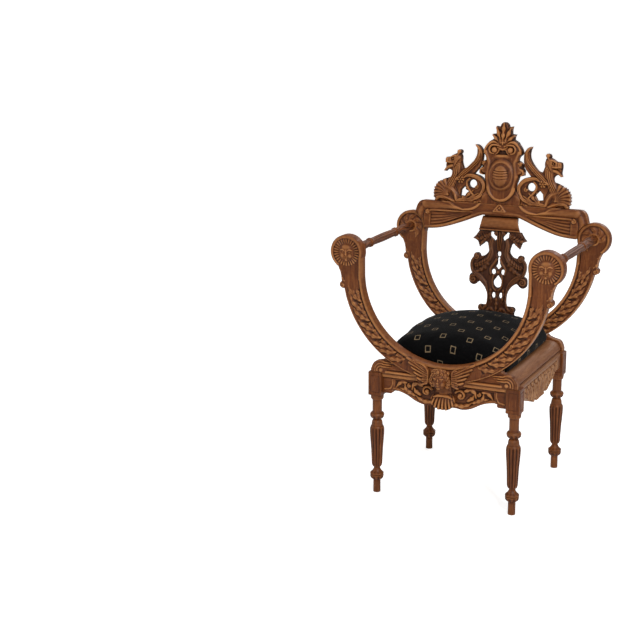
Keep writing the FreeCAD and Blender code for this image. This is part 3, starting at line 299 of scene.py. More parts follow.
class Carving:
    """Heights of a carved face, worked stroke by stroke."""

    def __init__(self, points: Points, rim: np.ndarray, level: float) -> None:
        """Starts from an untouched face.

        Args:
            points: Places on the face, across and up.
            rim: Distance of each place from the board's edge.
            level: Height of the untouched face.
        """
        self.points = points
        self.rim = rim
        self.level = level
        self.height = np.full(len(points), float(level))

    def _near(self, path: Path, reach: float) -> tuple[np.ndarray, ...]:
        """Finds the places within reach of a path, with their distance, share and side.

        Args:
            path: Line that it follows.
            reach: How far a place may be.

        Returns:
            Numbers of the places, then their distances, shares and sides.
        """
        run = np.asarray(path, float)
        if len(run) == 1:
            run = np.vstack([run, run + 1e-6])
        low, high = run.min(0) - reach, run.max(0) + reach
        which = np.flatnonzero(np.all((self.points > low) & (self.points < high), axis=1))
        return (which, *nearest(self.points[which], run))

    def _raise(self, which: np.ndarray, height: np.ndarray) -> None:
        """Lets a stroke stand above what is already there."""
        self.height[which] = np.maximum(self.height[which], height)

    def sink(self, polygon: Path, level: float, edge: float = 2) -> None:
        """Lowers the ground inside a polygon to a level, over a sloping edge.

        Args:
            polygon: Its corners.
            level: Height of the new ground.
            edge: Width of the slope.
        """
        loop = np.asarray(polygon, float)
        which = np.flatnonzero(inside(self.points, [loop]))
        distance = nearest(self.points[which], np.vstack([loop, loop[:1]]))[0]
        slope = np.clip(distance / edge, 0, 1)
        self.height[which] += (level - self.height[which]) * slope

    def plate(self, polygon: Path, low: float, high: float, edge: float) -> None:
        """Raises a plate with a rounded edge inside a polygon.

        Args:
            polygon: Its corners.
            low: Height that it rises from.
            high: Height of its top.
            edge: Width of the rounded edge.
        """
        loop = np.asarray(polygon, float)
        which = np.flatnonzero(inside(self.points, [loop]))
        distance = np.clip(nearest(self.points[which], np.vstack([loop, loop[:1]]))[0] / edge, 0, 1)
        self._raise(which, low + (high - low) * np.sqrt(1 - (1 - distance) ** 2))

    def swell(self, low: float, high: float, width: float) -> None:
        """Rounds the whole board up from its edges, as a carver rounds a strap."""
        share = np.clip(self.rim / width, 0, 1)
        self.height = low + (high - low) * np.sqrt(1 - (1 - share) ** 2)

    def ridge(self, path: Path, widths: Sequence[float], low: float, high: float,
            round_to: float = 0.5) -> None:
        """Raises a rounded rib that tapers along a path.

        Args:
            path: Line that it follows.
            widths: Half widths from one end to the other.
            low: Height that it rises from.
            high: Height of its top.
            round_to: Power of the rounding, less for a flatter top.
        """
        which, distance, share, _ = self._near(path, max(widths))
        width = np.interp(share, np.linspace(0, 1, len(widths)), widths)
        bulge = np.clip(1 - (distance / np.maximum(width, 1e-3)) ** 2, 0, 1) ** round_to
        hit = bulge > 0
        self._raise(which[hit], low + (high - low) * bulge[hit])

    def groove(self, path: Path, widths: Sequence[float], depth: float) -> None:
        """Cuts a rounded channel along a path.

        Args:
            path: Line that it follows.
            widths: Half widths from one end to the other.
            depth: How deep it is at its middle.
        """
        which, distance, share, _ = self._near(path, max(widths))
        width = np.interp(share, np.linspace(0, 1, len(widths)), widths)
        self.height[which] -= depth * np.clip(1 - (distance / np.maximum(width, 1e-3)) ** 2, 0, 1)

    def dome(self, centre: Pair, radius: float, low: float, high: float, tall: float = 1) -> None:
        """Raises a round or oval button.

        Args:
            centre: Its middle.
            radius: Its radius.
            low: Height that it rises from.
            high: Height of its top.
            tall: Height of the oval as a share of its width.
        """
        off = self.points - np.array(centre)
        reach = np.hypot(off[:, 0], off[:, 1] / tall) / radius
        which = np.flatnonzero(reach < 1)
        self._raise(which, low + (high - low) * np.sqrt(1 - reach[which] ** 2))

    def leaf(self, spine: Path, widths: Sequence[float], low: float, high: float, lobes: float = 4,
            vein: float = 1) -> None:
        """Raises a lobed leaf with a middle vein and slanting ribs.

        Args:
            spine: Line of the middle vein.
            widths: Half widths from one end to the other.
            low: Height that it rises from.
            high: Height of its top.
            lobes: Number of lobes.
            vein: Depth of the vein.
        """
        which, distance, share, _ = self._near(bend(spine), max(widths))
        width = np.interp(share, np.linspace(0, 1, len(widths)), widths)
        phase = share * lobes
        width = width * (1 - 0.3 * np.abs(np.sin(math.pi * phase)) ** 3)
        across = distance / np.maximum(width, 1e-3)
        hit = across < 1
        which, distance, across, phase = which[hit], distance[hit], across[hit], phase[hit]
        ribs = 0.5 + 0.5 * np.cos(2 * math.pi * (phase - 0.45 * across + 0.5))
        bulge = np.sqrt(1 - across ** 2) * (1 - 0.34 * ribs * np.minimum(1, across * 2.2))
        height = low + (high - low) * bulge - vein * np.exp(-(distance / 1.1) ** 2)
        self._raise(which, height)

    def volute(self, centre: Pair, radius: float, start: float, turns: float, low: float, high: float,
            width: float = 0.24) -> None:
        """Raises a spiral scroll with a button at its heart.

        Args:
            centre: Its middle.
            radius: Its radius.
            start: Direction of the outer end in degrees.
            turns: Number of turns.
            low: Height that it rises from.
            high: Height of its top.
            width: Half width of the strap as a share of the radius.
        """
        self.dome(centre, radius, low - 0.4 * (high - low), low + 0.25 * (high - low))
        self.ridge(spiral(centre, radius * (1 - width), start, turns),
            [radius * width, radius * width * 0.62], low, high)
        self.dome(centre, radius * 0.27, low, high)

    def petals(self, centre: Pair, inner: float, outer: float, count: int, low: float, high: float,
            twist: float = 0) -> None:
        """Raises a ring of rounded petals.

        Args:
            centre: Its middle.
            inner: Radius of their feet.
            outer: Radius of their tips.
            count: Number of petals.
            low: Height that it rises from.
            high: Height of its top.
            twist: How far they lean, in radians.
        """
        off = self.points - np.array(centre)
        reach = np.hypot(off[:, 0], off[:, 1])
        which = np.flatnonzero((reach > inner) & (reach < outer))
        off, reach = off[which], (reach[which] - inner) / (outer - inner)
        turn = np.arctan2(off[:, 1], off[:, 0]) + twist * reach
        rib = np.abs(np.cos(count * turn / 2)) ** 0.6
        ends = np.sqrt(np.clip(1 - (2 * reach - 1) ** 6, 0, 1))
        self._raise(which, low + (high - low) * rib * ends)

    def beads(self, path: Path, pitch: float, radius: float, low: float, high: float) -> None:
        """Raises a row of small buttons.

        Args:
            path: Line that it follows.
            pitch: Distance between buttons.
            radius: Radius of a button.
            low: Height that it rises from.
            high: Height of its top.
        """
        run = np.asarray(path, float)
        lengths = np.r_[0, np.cumsum(np.hypot(*np.diff(run, axis=0).T))]
        count = max(2, round(lengths[-1] / pitch))
        for at in np.linspace(0, lengths[-1], count):
            spot = (np.interp(at, lengths, run[:, 0]), np.interp(at, lengths, run[:, 1]))
            self.dome(spot, radius, low, high)

    def soften(self, radius: float) -> np.ndarray:
        """Rounds the board's edge over and returns how much each place dropped.

        Args:
            radius: Radius of the edge.

        Returns:
            The drop of each place.
        """
        share = np.clip(self.rim / radius, 0, 1)
        drop = radius * (1 - np.sqrt(1 - (1 - share) ** 2))
        self.height -= drop
        return drop


CarvingStrokes = Callable[[Carving], None]


def smoothed(values: np.ndarray, pairs: np.ndarray, rounds: int) -> np.ndarray:
    """Averages values over the edges of a mesh a number of times.

    Args:
        values: One value for each corner.
        pairs: Corner numbers of the edges.
        rounds: Number of times.

    Returns:
        The averaged values.
    """
    a, b = pairs.T
    count = len(values)
    weight = np.bincount(a, minlength=count) + np.bincount(b, minlength=count) + 1
    for _ in range(rounds):
        total = (np.bincount(a, values[b], minlength=count) + np.bincount(b, values[a], minlength=count)
            + values)
        values = total / weight
    return values


def ripple(points: Points, size: float, seed: float) -> np.ndarray:
    """Gives the slight unevenness of hand work, between -1 and 1."""
    x, y = points[:, 0] / size, points[:, 1] / size
    return (np.sin(1.7 * x + 2.3 * y + seed) + np.sin(-2.9 * x + 1.3 * y + 2.1 * seed)
        + np.sin(0.9 * x - 3.7 * y + 0.7 * seed)) / 3


def corners(mesh: bpy.types.Mesh) -> Points:
    """Reads a mesh's corners in metres.

    Args:
        mesh: The mesh.

    Returns:
        The corners in metres.
    """
    spots = np.zeros(len(mesh.vertices) * 3)
    mesh.vertices.foreach_get("co", spots)
    return spots.reshape(-1, 3)


def normals_of(mesh: bpy.types.Mesh) -> Points:
    """Reads the directions that a mesh's corners look along.

    Args:
        mesh: The mesh.

    Returns:
        One direction for each corner.
    """
    turned = np.zeros(len(mesh.vertices) * 3)
    mesh.vertex_normals.foreach_get("vector", turned)
    return turned.reshape(-1, 3)


def edge_pairs(mesh: bpy.types.Mesh) -> np.ndarray:
    """Reads the two corner numbers of each of a mesh's edges.

    Args:
        mesh: The mesh.

    Returns:
        Two corner numbers for each edge.
    """
    pairs = np.zeros(len(mesh.edges) * 2, np.int32)
    mesh.edges.foreach_get("vertices", pairs)
    return pairs.reshape(-1, 2)


def put(name: str, data: bpy.types.ID) -> Thing:
    """Makes an object of a mesh, lamp or camera and puts it in the scene.

    Args:
        name: Name of the object.
        data: What it shows.

    Returns:
        The object.
    """
    thing = bpy.data.objects.new(name, data)
    bpy.context.scene.collection.objects.link(thing)
    return thing


def settled_mesh(thing: Thing) -> None:
    """Turns an object's modifiers into its mesh.

    Args:
        thing: The object.
    """
    graph = bpy.context.evaluated_depsgraph_get()
    mesh = bpy.data.meshes.new_from_object(thing.evaluated_get(graph))
    thing.modifiers.clear()
    thing.data = mesh


def strip_faces(rings: int, count: int) -> Faces:
    """Joins closed rings of points, each of the same count, by rows of four-sided faces."""
    return [(i * count + j, i * count + (j + 1) % count, (i + 1) * count + (j + 1) % count,
        (i + 1) * count + j) for i in range(rings - 1) for j in range(count)]


def make_object(name: str, points: Points, faces: Sequence[Sequence[int]],
        recess: np.ndarray | None = None, angle: float = 40) -> Thing:
    """Makes a smooth-shaded object from points in millimetres.

    Args:
        name: Name of the object.
        points: Its corners in the chair's frame.
        faces: Corner numbers of each face.
        recess: How far each corner lies below its surroundings, which the finish turns into painted shade
            and a painted highlight.
        angle: Edges sharper than this many degrees stay crisp.

    Returns:
        The object, linked to the scene.
    """
    mesh = bpy.data.meshes.new(name)
    mesh.from_pydata((points * MM).tolist(), [], [list(map(int, face)) for face in faces])
    mesh.validate()
    mesh.shade_smooth()
    mesh.set_sharp_from_angle(angle=math.radians(angle))
    if recess is not None and len(recess) == len(mesh.vertices):
        layer = mesh.attributes.new("recess", "FLOAT", "POINT")
        layer.data.foreach_set("value", recess.astype(np.float32))
    thing = put(name, mesh)
    return thing


@dataclass(frozen=True)
class BoardShape:
    """A carved board's make-up.

    Args:
        plane: Plane that it lies in.
        back: Height of its flat back.
        level: Height of its untouched face.
        pitch: Spacing of its surface points.
        soften: Radius of its worn edges.
        even: Whether the carving repeats left and right of the middle, so that it is worked
            on the right half alone.
        joint: Across place of a butt joint, where the edge isn't rounded.
    """

    plane: Plane
    back: float
    level: float
    pitch: float = 1.7
    soften: float = 1.6
    even: bool = False
    joint: float | None = None


def carve_board(name: str, loops: list[Points], shape: BoardShape, strokes: CarvingStrokes) -> Thing:
    """Builds a board from its outline, with a carved face, a flat back and walls.

    Args:
        name: Name of the object.
        loops: Outer loop and piercings.
        shape: The board's make-up.
        strokes: Works the face.

    Returns:
        The finished board.
    """
    rims = [spaced(loop, shape.pitch) for loop in loops]
    rims = [rim if (area_of(rim) > 0) == (number == 0) else rim[::-1] for number, rim in enumerate(rims)]
    low, high = rims[0].min(0), rims[0].max(0)
    columns = np.arange(low[0], high[0], shape.pitch)
    rows = np.arange(low[1], high[1], shape.pitch * 0.866)
    grid = np.array([(x + (0.5 * shape.pitch if number % 2 else 0), y) for number, y in enumerate(rows)
        for x in columns])
    grid = grid[inside(grid, rims)]
    grid = grid[edge_distance(grid, rims) > 0.6 * shape.pitch]
    spots = np.vstack(rims + [grid])
    edges, start = [], 0
    for rim in rims:
        count = len(rim)
        edges += [(start + i, start + (i + 1) % count) for i in range(count)]
        start += count

    def triangles(count: int) -> tuple[Points, np.ndarray, dict[int, int]]:
        """Triangulates the first points within the outline.

        Args:
            count: How many points to use.

        Returns:
            Points, triangles, and the new number of each old point.
        """
        made = delaunay_2d_cdt([Vector(spot) for spot in spots[:count]], edges, [], 0, 1e-4, True)
        found = np.array([tuple(v) for v in made[0]])
        faces = np.array([face for face in made[2] if len(face) == 3])
        middles = found[faces].mean(axis=1)
        where = {old: new for new, olds in enumerate(made[3]) for old in olds}
        return found, faces[inside(middles, rims)], where

    found, faces, where = triangles(len(spots))
    _, back_faces, back_where = triangles(start)
    back_of = {new: old for old, new in back_where.items()}
    free = rims
    if shape.joint is not None:
        dense = spaced(rims[0], 0.5)
        free = [dense[np.abs(dense[:, 0] - shape.joint) > 0.4]] + rims[1:]
        seam = int(np.argmax(np.hypot(*np.diff(np.vstack([free[0], free[0][:1]]), axis=0).T)))
        free[0] = np.roll(free[0], -seam - 1, axis=0)
        free[0] = np.vstack([free[0], free[0][-2:0:-1]])
    flat = found.copy()
    if shape.even:
        flat[:, 0] = np.abs(flat[:, 0])
    work = Carving(flat, edge_distance(found, free), shape.level)
    strokes(work)
    work.height += 0.16 * ripple(found, 7, len(name))
    pairs = np.unique(np.sort(np.vstack([faces[:, [0, 1]], faces[:, [1, 2]], faces[:, [2, 0]]]), axis=1),
        axis=0)
    # The recess becomes painted shade in the hollows and a painted highlight on raised places in the
    # finish.
    bare = work.height.copy()
    near_blur = smoothed(bare, pairs, 5)
    far_blur = smoothed(near_blur, pairs, 45)
    recess = 0.62 * (near_blur - bare) + 0.38 * (far_blur - bare)
    drop = work.soften(shape.soften)
    # Rounded-over edges count as raised, for their wear and painted highlight.
    recess -= 0.5 * drop
    order = [where[i] for i in range(start)]
    outer = found[order]
    inner = outer.copy()
    chamfer = min(1.2, 0.5 * shape.soften)
    base, walls = len(found), []
    for first, rim in zip(np.cumsum([0] + [len(rim) for rim in rims]), rims):
        ring = outer[first:first + len(rim)]
        along = np.roll(ring, -1, axis=0) - np.roll(ring, 1, axis=0)
        inward = np.column_stack([-along[:, 1], along[:, 0]])
        inner[first:first + len(rim)] += inward * (chamfer / np.maximum(np.hypot(*along.T), 1e-6))[:,
            None]
        for a, b in edges[first:first + len(rim)]:
            walls.append((order[b], order[a], base + a, base + b))
            walls.append((base + b, base + a, base + start + a, base + start + b))
    if shape.joint is not None:
        inner[np.abs(outer[:, 0] - shape.joint) < 0.5, 0] = shape.joint
    points = [shape.plane.place(found, work.height), shape.plane.place(outer,
        np.full(start, shape.back + chamfer)), shape.plane.place(inner, np.full(start, shape.back))]
    caps = [tuple(base + start + back_of[v] for v in face[::-1]) for face in back_faces]
    # Walls and back get a faint painted highlight.
    recess = np.concatenate([recess, np.full(2 * start, -0.05)])
    return make_object(name, np.vstack(points), [*map(tuple, faces), *walls, *caps], recess)


def twin(thing: Thing, name: str) -> Thing:
    """Makes the mirrored left-hand twin of a right-hand piece.

    Args:
        thing: The right-hand piece.
        name: Name of the twin.

    Returns:
        The twin.
    """
    mesh = thing.data.copy()
    mesh.transform(Matrix.Scale(-1, 4, Vector((1, 0, 0))))
    mesh.flip_normals()
    other = put(name, mesh)
    return other


# Finishes

class Grain(Enum):
    """Which way the wood's grain runs, as the noise's stretch along X, Y and Z."""

    ACROSS = (1, 9, 9)
    DEEP = (9, 1, 9)
    UPRIGHT = (9, 9, 1)


class Nodes:
    """Builds one material's node tree with short calls."""

    def __init__(self, name: str) -> None:
        """Makes the material.

        Args:
            name: Name of the material.
        """
        self.material = bpy.data.materials.new(name)
        self.material.use_nodes = True
        self.tree = self.material.node_tree
        self.shader = self.tree.nodes["Principled BSDF"]

    def add(self, kind: str, **settings: object) -> bpy.types.Node:
        """Adds a node; a setting named after an input sets its value or links a socket to it.

        Args:
            kind: Type of the node, without the word ShaderNode before it.
            settings: Settings and inputs by name.

        Returns:
            The node.
        """
        node = self.tree.nodes.new(f"ShaderNode{kind}")
        for key, value in settings.items():
            if hasattr(node, key) and key not in node.inputs:
                setattr(node, key, value)
            else:
                self.feed(node, key.replace("_", " "), value)
        return node

    def feed(self, node: bpy.types.Node, socket: str | int, value: object) -> None:
        """Sets an input, or links an output to it."""
        if isinstance(value, Socket):
            self.tree.links.new(value, node.inputs[socket])
        else:
            node.inputs[socket].default_value = value

    def math(self, operation: str, a: object, b: object = 0.0) -> Socket:
        """Adds a sum of two values.

        Args:
            operation: Name of the sum.
            a: First value.
            b: Second value.

        Returns:
            The result.
        """
        node = self.add("Math", operation=operation)
        self.feed(node, 0, a)
        self.feed(node, 1, b)
        return node.outputs[0]

    def ramp(self, value: Socket, stops: Sequence[tuple[float, tuple[float, ...]]]) -> Socket:
        """Adds a colour ramp.

        Args:
            value: What the ramp reads.
            stops: Places and colours.

        Returns:
            The colour.
        """
        node = self.add("ValToRGB")
        self.feed(node, 0, value)
        elements = node.color_ramp.elements
        while len(elements) < len(stops):
            elements.new(0.5)
        for element, (place, colour) in zip(elements, stops):
            element.position = place
            element.color = (*colour, 1)
        return node.outputs[0]

    def mix(self, share: object, a: object, b: object, blend: str = "MIX") -> Socket:
        """Mixes two colours.

        Args:
            share: Share of the second colour.
            a: First colour.
            b: Second colour.
            blend: Way of mixing.

        Returns:
            The colour.
        """
        node = self.add("Mix", data_type="RGBA", blend_type=blend)
        self.feed(node, 0, share)
        self.feed(node, 6, (*a, 1) if isinstance(a, tuple) else a)
        self.feed(node, 7, (*b, 1) if isinstance(b, tuple) else b)
        return node.outputs[2]

    def noise(self, place: Socket, scale: float, detail: float = 3, roughness: float = 0.55,
            distortion: float = 0) -> Socket:
        """Adds a noise and gives its value."""
        return self.add("TexNoise", Vector=place, Scale=scale, Detail=detail, Roughness=roughness,
            Distortion=distortion).outputs["Fac"]

    def stretched(self, scale: tuple[float, ...]) -> Socket:
        """Gives object coordinates stretched along the axes."""
        place = self.add("TexCoord").outputs["Object"]
        return self.add("Mapping", Vector=place, Scale=scale).outputs[0]

    def bump(self, height: Socket, strength: float, distance: float,
            after: Socket | None = None) -> Socket:
        """Adds a bump, after another where one is given, and gives its normal.

        Args:
            height: Height.
            strength: Share of the effect.
            distance: Depth in metres.
            after: Normal of the bump under it.

        Returns:
            The normal.
        """
        node = self.add("Bump", Height=height, Strength=strength, Distance=distance)
        if after is not None:
            self.feed(node, "Normal", after)
        return node.outputs[0]

    def skin(self, **values: object) -> None:
        """Sets or links inputs of the surface shader, with _ for a space in their names."""
        for key, value in values.items():
            self.feed(self.shader, key.replace("_", " "), value)


@dataclass(frozen=True)
class WoodFinish:
    """Waxed walnut with open grain, painted shade in the carving's recesses, and wear with a painted
    highlight on high spots.

    Args:
        name: Name of the material.
        dark: Colour of the darker grain.
        mid: Main colour.
        pale: Colour of the paler grain.
        pore_and_shade: Colour of the filled pores and of the painted shade in the recesses.
        wear_and_highlight: Colour of the rubbed edges, which also paints their highlight.
        depth: How strongly the painted shade darkens recesses.
        wear_and_highlight_strength: How strongly high spots pale, from wear and a painted highlight.
        roughness: Roughness of the waxed surface.
        slot: Not used; no material slot is set from it.
    """

    name: str
    dark: Triple
    mid: Triple
    pale: Triple
    pore_and_shade: Triple
    wear_and_highlight: Triple
    depth: float = 0.55
    wear_and_highlight_strength: float = 0.5
    roughness: float = 0.42
    slot: str = ""

    def build(self, grain: Grain) -> bpy.types.Material:
        """Makes the material for wood whose grain runs one way.

        Args:
            grain: Which way the wood's grain runs.

        Returns:
            The material.
        """
        nodes = Nodes(f"{self.name}_{grain.name.lower()}")
        place = nodes.stretched(grain.value)
        even = nodes.stretched((1, 1, 1))
        figure = nodes.noise(place, 9, 4, 0.6, 0.6)
        streaks = nodes.noise(place, 42, 3, 0.65)
        pores = nodes.noise(nodes.stretched(tuple(1 if v == 1 else 26 for v in grain.value)), 46, 2)
        patches = nodes.noise(even, 11, 3, 0.6)
        tone = nodes.math("ADD", nodes.math("MULTIPLY", figure, 0.6),
            nodes.math("MULTIPLY", streaks, 0.4))
        colour = nodes.ramp(tone, [(0.34, self.dark), (0.5, self.mid), (0.66, self.pale)])
        colour = nodes.mix(nodes.math("MULTIPLY", nodes.ramp(patches,
            [(0.35, (0, 0, 0)), (0.7, (1, 1, 1))]), 0.35), colour, self.dark)
        pore = nodes.ramp(pores, [(0.30, (1, 1, 1)), (0.42, (0, 0, 0))])
        colour = nodes.mix(nodes.math("MULTIPLY", pore, 0.45), colour, self.pore_and_shade)
        recess = nodes.add("Attribute", attribute_name="recess").outputs["Fac"]
        # Wear with a painted highlight: places above their surroundings pale towards the rubbed-edge
        # colour.
        worn_and_lit = nodes.math("MULTIPLY", nodes.math("MULTIPLY", recess, -1.0), self.wear_and_highlight_strength)
        worn_and_lit = nodes.math("MULTIPLY", nodes.math("MINIMUM", nodes.math("MAXIMUM", worn_and_lit), 1.0),
            nodes.math("ADD", patches, 0.35))
        colour = nodes.mix(nodes.math("MINIMUM", worn_and_lit, 0.9), colour, self.wear_and_highlight)
        # Painted shade: places below their surroundings darken towards the dark recess colour.
        painted_shade = nodes.math("MULTIPLY", nodes.math("SUBTRACT", recess, 0.1), self.depth)
        painted_shade = nodes.math("MINIMUM", nodes.math("MAXIMUM", painted_shade), 0.82)
        colour = nodes.mix(painted_shade, colour, self.pore_and_shade)
        shine = nodes.math("ADD", nodes.math("MULTIPLY", patches, 0.22),
            nodes.math("ADD", nodes.math("MULTIPLY", painted_shade, 0.25), self.roughness - 0.12))
        relief = nodes.bump(pore, 0.25, -0.0003, nodes.bump(streaks, 0.12, 0.0008))
        nodes.skin(Base_Color=colour, Roughness=shine, Specular_IOR_Level=0.28, Normal=relief)
        return nodes.material


@dataclass(frozen=True)
class WovenFinish:
    """A woven cloth with small open diamonds in staggered rows.

    Args:
        name: Name of the material.
        ground: Colour of the ground weave.
        figure: Colour of the small pattern.
        spacing: Distance between the patterns in metres, or 0 for plain cloth.
        threads: Threads to the metre.
        roughness: Roughness of the cloth.
    """

    name: str
    ground: Triple
    figure: Triple
    spacing: float = 0.0
    threads: float = 900
    roughness: float = 0.85

    def build(self) -> bpy.types.Material:
        """Makes the material.

        Returns:
            The material.
        """
        nodes = Nodes(self.name)
        if self.spacing:
            laid = nodes.add("Attribute", attribute_name="weave").outputs["Vector"]
        else:
            laid = nodes.add("TexCoord").outputs["Object"]
        split = nodes.add("SeparateXYZ")
        nodes.feed(split, 0, laid)
        x, y = split.outputs[0], split.outputs[1]

        def wave(axis: Socket) -> Socket:
            """Gives the rise and fall of the threads along an axis."""
            return nodes.math("SINE", nodes.math("MULTIPLY", axis, self.threads * math.pi))

        weave = nodes.math("MULTIPLY", wave(x), wave(y))
        thread = nodes.noise(nodes.stretched((1, 6, 1)), 240, 2)
        cloud = nodes.noise(nodes.stretched((1, 1, 1)), 14, 3)
        tone = nodes.math("ADD", nodes.math("MULTIPLY", thread, 0.7), nodes.math("MULTIPLY", cloud, 0.5))
        darker = tuple(0.45 * part for part in self.ground)
        paler = tuple(min(1, 1.9 * part) for part in self.ground)
        colour = nodes.ramp(tone, [(0.4, darker), (0.6, self.ground), (0.8, paler)])
        if self.spacing:
            colour = nodes.mix(self.figure_mask(nodes, x, y, thread), colour, self.figure)
        nodes.skin(Base_Color=colour, Roughness=self.roughness, Specular_IOR_Level=0.08,
            Sheen_Weight=0.03, Sheen_Roughness=0.5, Normal=nodes.bump(weave, 0.25, 0.0004))
        return nodes.material

    def figure_mask(self, nodes: Nodes, x: Socket, y: Socket, thread: Socket) -> Socket:
        """Marks the outlines of small squares set in staggered rows.

        Args:
            nodes: The material's nodes.
            x: First coordinate on the cloth.
            y: Second one.
            thread: Unevenness of the thread.

        Returns:
            Share of the figure colour.
        """
        def cell(axis: Socket, offset: float) -> Socket:
            """Distance from the middle of the cell along one axis.

            Args:
                axis: Coordinate.
                offset: Shift of the row.

            Returns:
                The distance as a share of the cell.
            """
            step = nodes.math("ADD", nodes.math("DIVIDE", axis, self.spacing), offset)
            part = nodes.math("SUBTRACT", nodes.math("FRACT", nodes.math("ADD", step, 100.0)), 0.5)
            return nodes.math("ABSOLUTE", part)

        marks = []
        for offset in (0.25, 0.75):
            reach = nodes.math("MAXIMUM", cell(x, offset), cell(y, offset))
            ring = nodes.math("ABSOLUTE", nodes.math("SUBTRACT", reach, 0.09))
            marks.append(nodes.math("LESS_THAN", ring, 0.0155))
        mark = nodes.math("MAXIMUM", *marks)
        return nodes.math("MULTIPLY", mark, nodes.math("ADD", thread, 0.3))


WALNUT = WoodFinish("carved_walnut", (0.075, 0.018, 0.004), (0.17, 0.046, 0.0095), (0.29, 0.090, 0.021),
    (0.020, 0.006, 0.002), (0.52, 0.215, 0.068), depth=0.5, wear_and_highlight_strength=0.8)
# A darker copy of the walnut for the splat, which paints the shade that falls on it.
SHADED_WALNUT = WoodFinish("shaded_walnut", (0.044, 0.011, 0.003), (0.085, 0.024, 0.007),
    (0.15, 0.048, 0.014), (0.012, 0.004, 0.002), (0.27, 0.105, 0.036), depth=0.45, slot="carved_walnut")
# A paler copy of the walnut for the side rails and rolls, which paints the light that falls on the side
# faces.
LIT_WALNUT = WoodFinish("worn_walnut", (0.14, 0.046, 0.015), (0.235, 0.088, 0.032), (0.33, 0.145, 0.060),
    (0.028, 0.010, 0.004), (0.46, 0.24, 0.115), depth=0.55, roughness=0.5)
PALE = WoodFinish("pale_hardwood", (0.36, 0.22, 0.11), (0.5, 0.34, 0.19), (0.6, 0.44, 0.27),
    (0.16, 0.09, 0.045), (0.62, 0.48, 0.32), roughness=0.65)
COVER = WovenFinish("woven_cover", (0.0014, 0.0013, 0.0015), (0.26, 0.19, 0.11), spacing=0.08)
JUTE = WovenFinish("jute_webbing", (0.33, 0.24, 0.13), (0, 0, 0), threads=500)


@cache
def material_of(finish: WoodFinish | WovenFinish, grain: Grain | None) -> bpy.types.Material:
    """Gives a finish's material, made once for each way of the grain."""
    return finish.build(grain) if isinstance(finish, WoodFinish) else finish.build()


def settle(thing: Thing, node: str, finish: WoodFinish | WovenFinish, grain: Grain | None = None) -> None:
    """Gives a piece its finish and lets it stand for its CAD node.

    Args:
        thing: The piece.
        node: Name of the node that it replaces.
        finish: Its finish.
        grain: Which way its grain runs, for wood.
    """
    thing.data.materials.clear()
    thing.data.materials.append(material_of(finish, grain))
    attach(thing, "root")
    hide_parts(node)
    getattr(finish, "slot", "") or finish.name
    log.info("%s: %d faces", node, len(thing.data.polygons))


def settle_pair(thing: Thing, node: str, grain: Grain) -> None:
    """Lets a right-hand piece and its mirrored twin stand for a pair of CAD nodes.

    Args:
        thing: The right-hand piece.
        node: The nodes' name without its left or right.
        grain: Which way the grain runs.
    """
    other = twin(thing, f"{thing.name}_left")
    settle(other, f"{node}_left", WALNUT, grain)
    settle(thing, f"{node}_right", WALNUT, grain)


# Arm frames

INNER_RADIUS = 244.0
INNER_RISE = 289.0
HEAD = (291.0, 345.6)


def band(along: float, across: float) -> Pair:
    """Gives a place on an arm frame from its length along the inner edge and distance off it.

    Args:
        along: Length along the inner edge from the middle.
        across: Distance off it.

    Returns:
        The place on the working plane.
    """
    if along > INNER_RADIUS * math.pi / 2:
        return INNER_RADIUS + across, INNER_RISE + along - INNER_RADIUS * math.pi / 2
    turn = along / INNER_RADIUS
    reach = INNER_RADIUS + across
    return reach * math.sin(turn), INNER_RISE - reach * math.cos(turn)


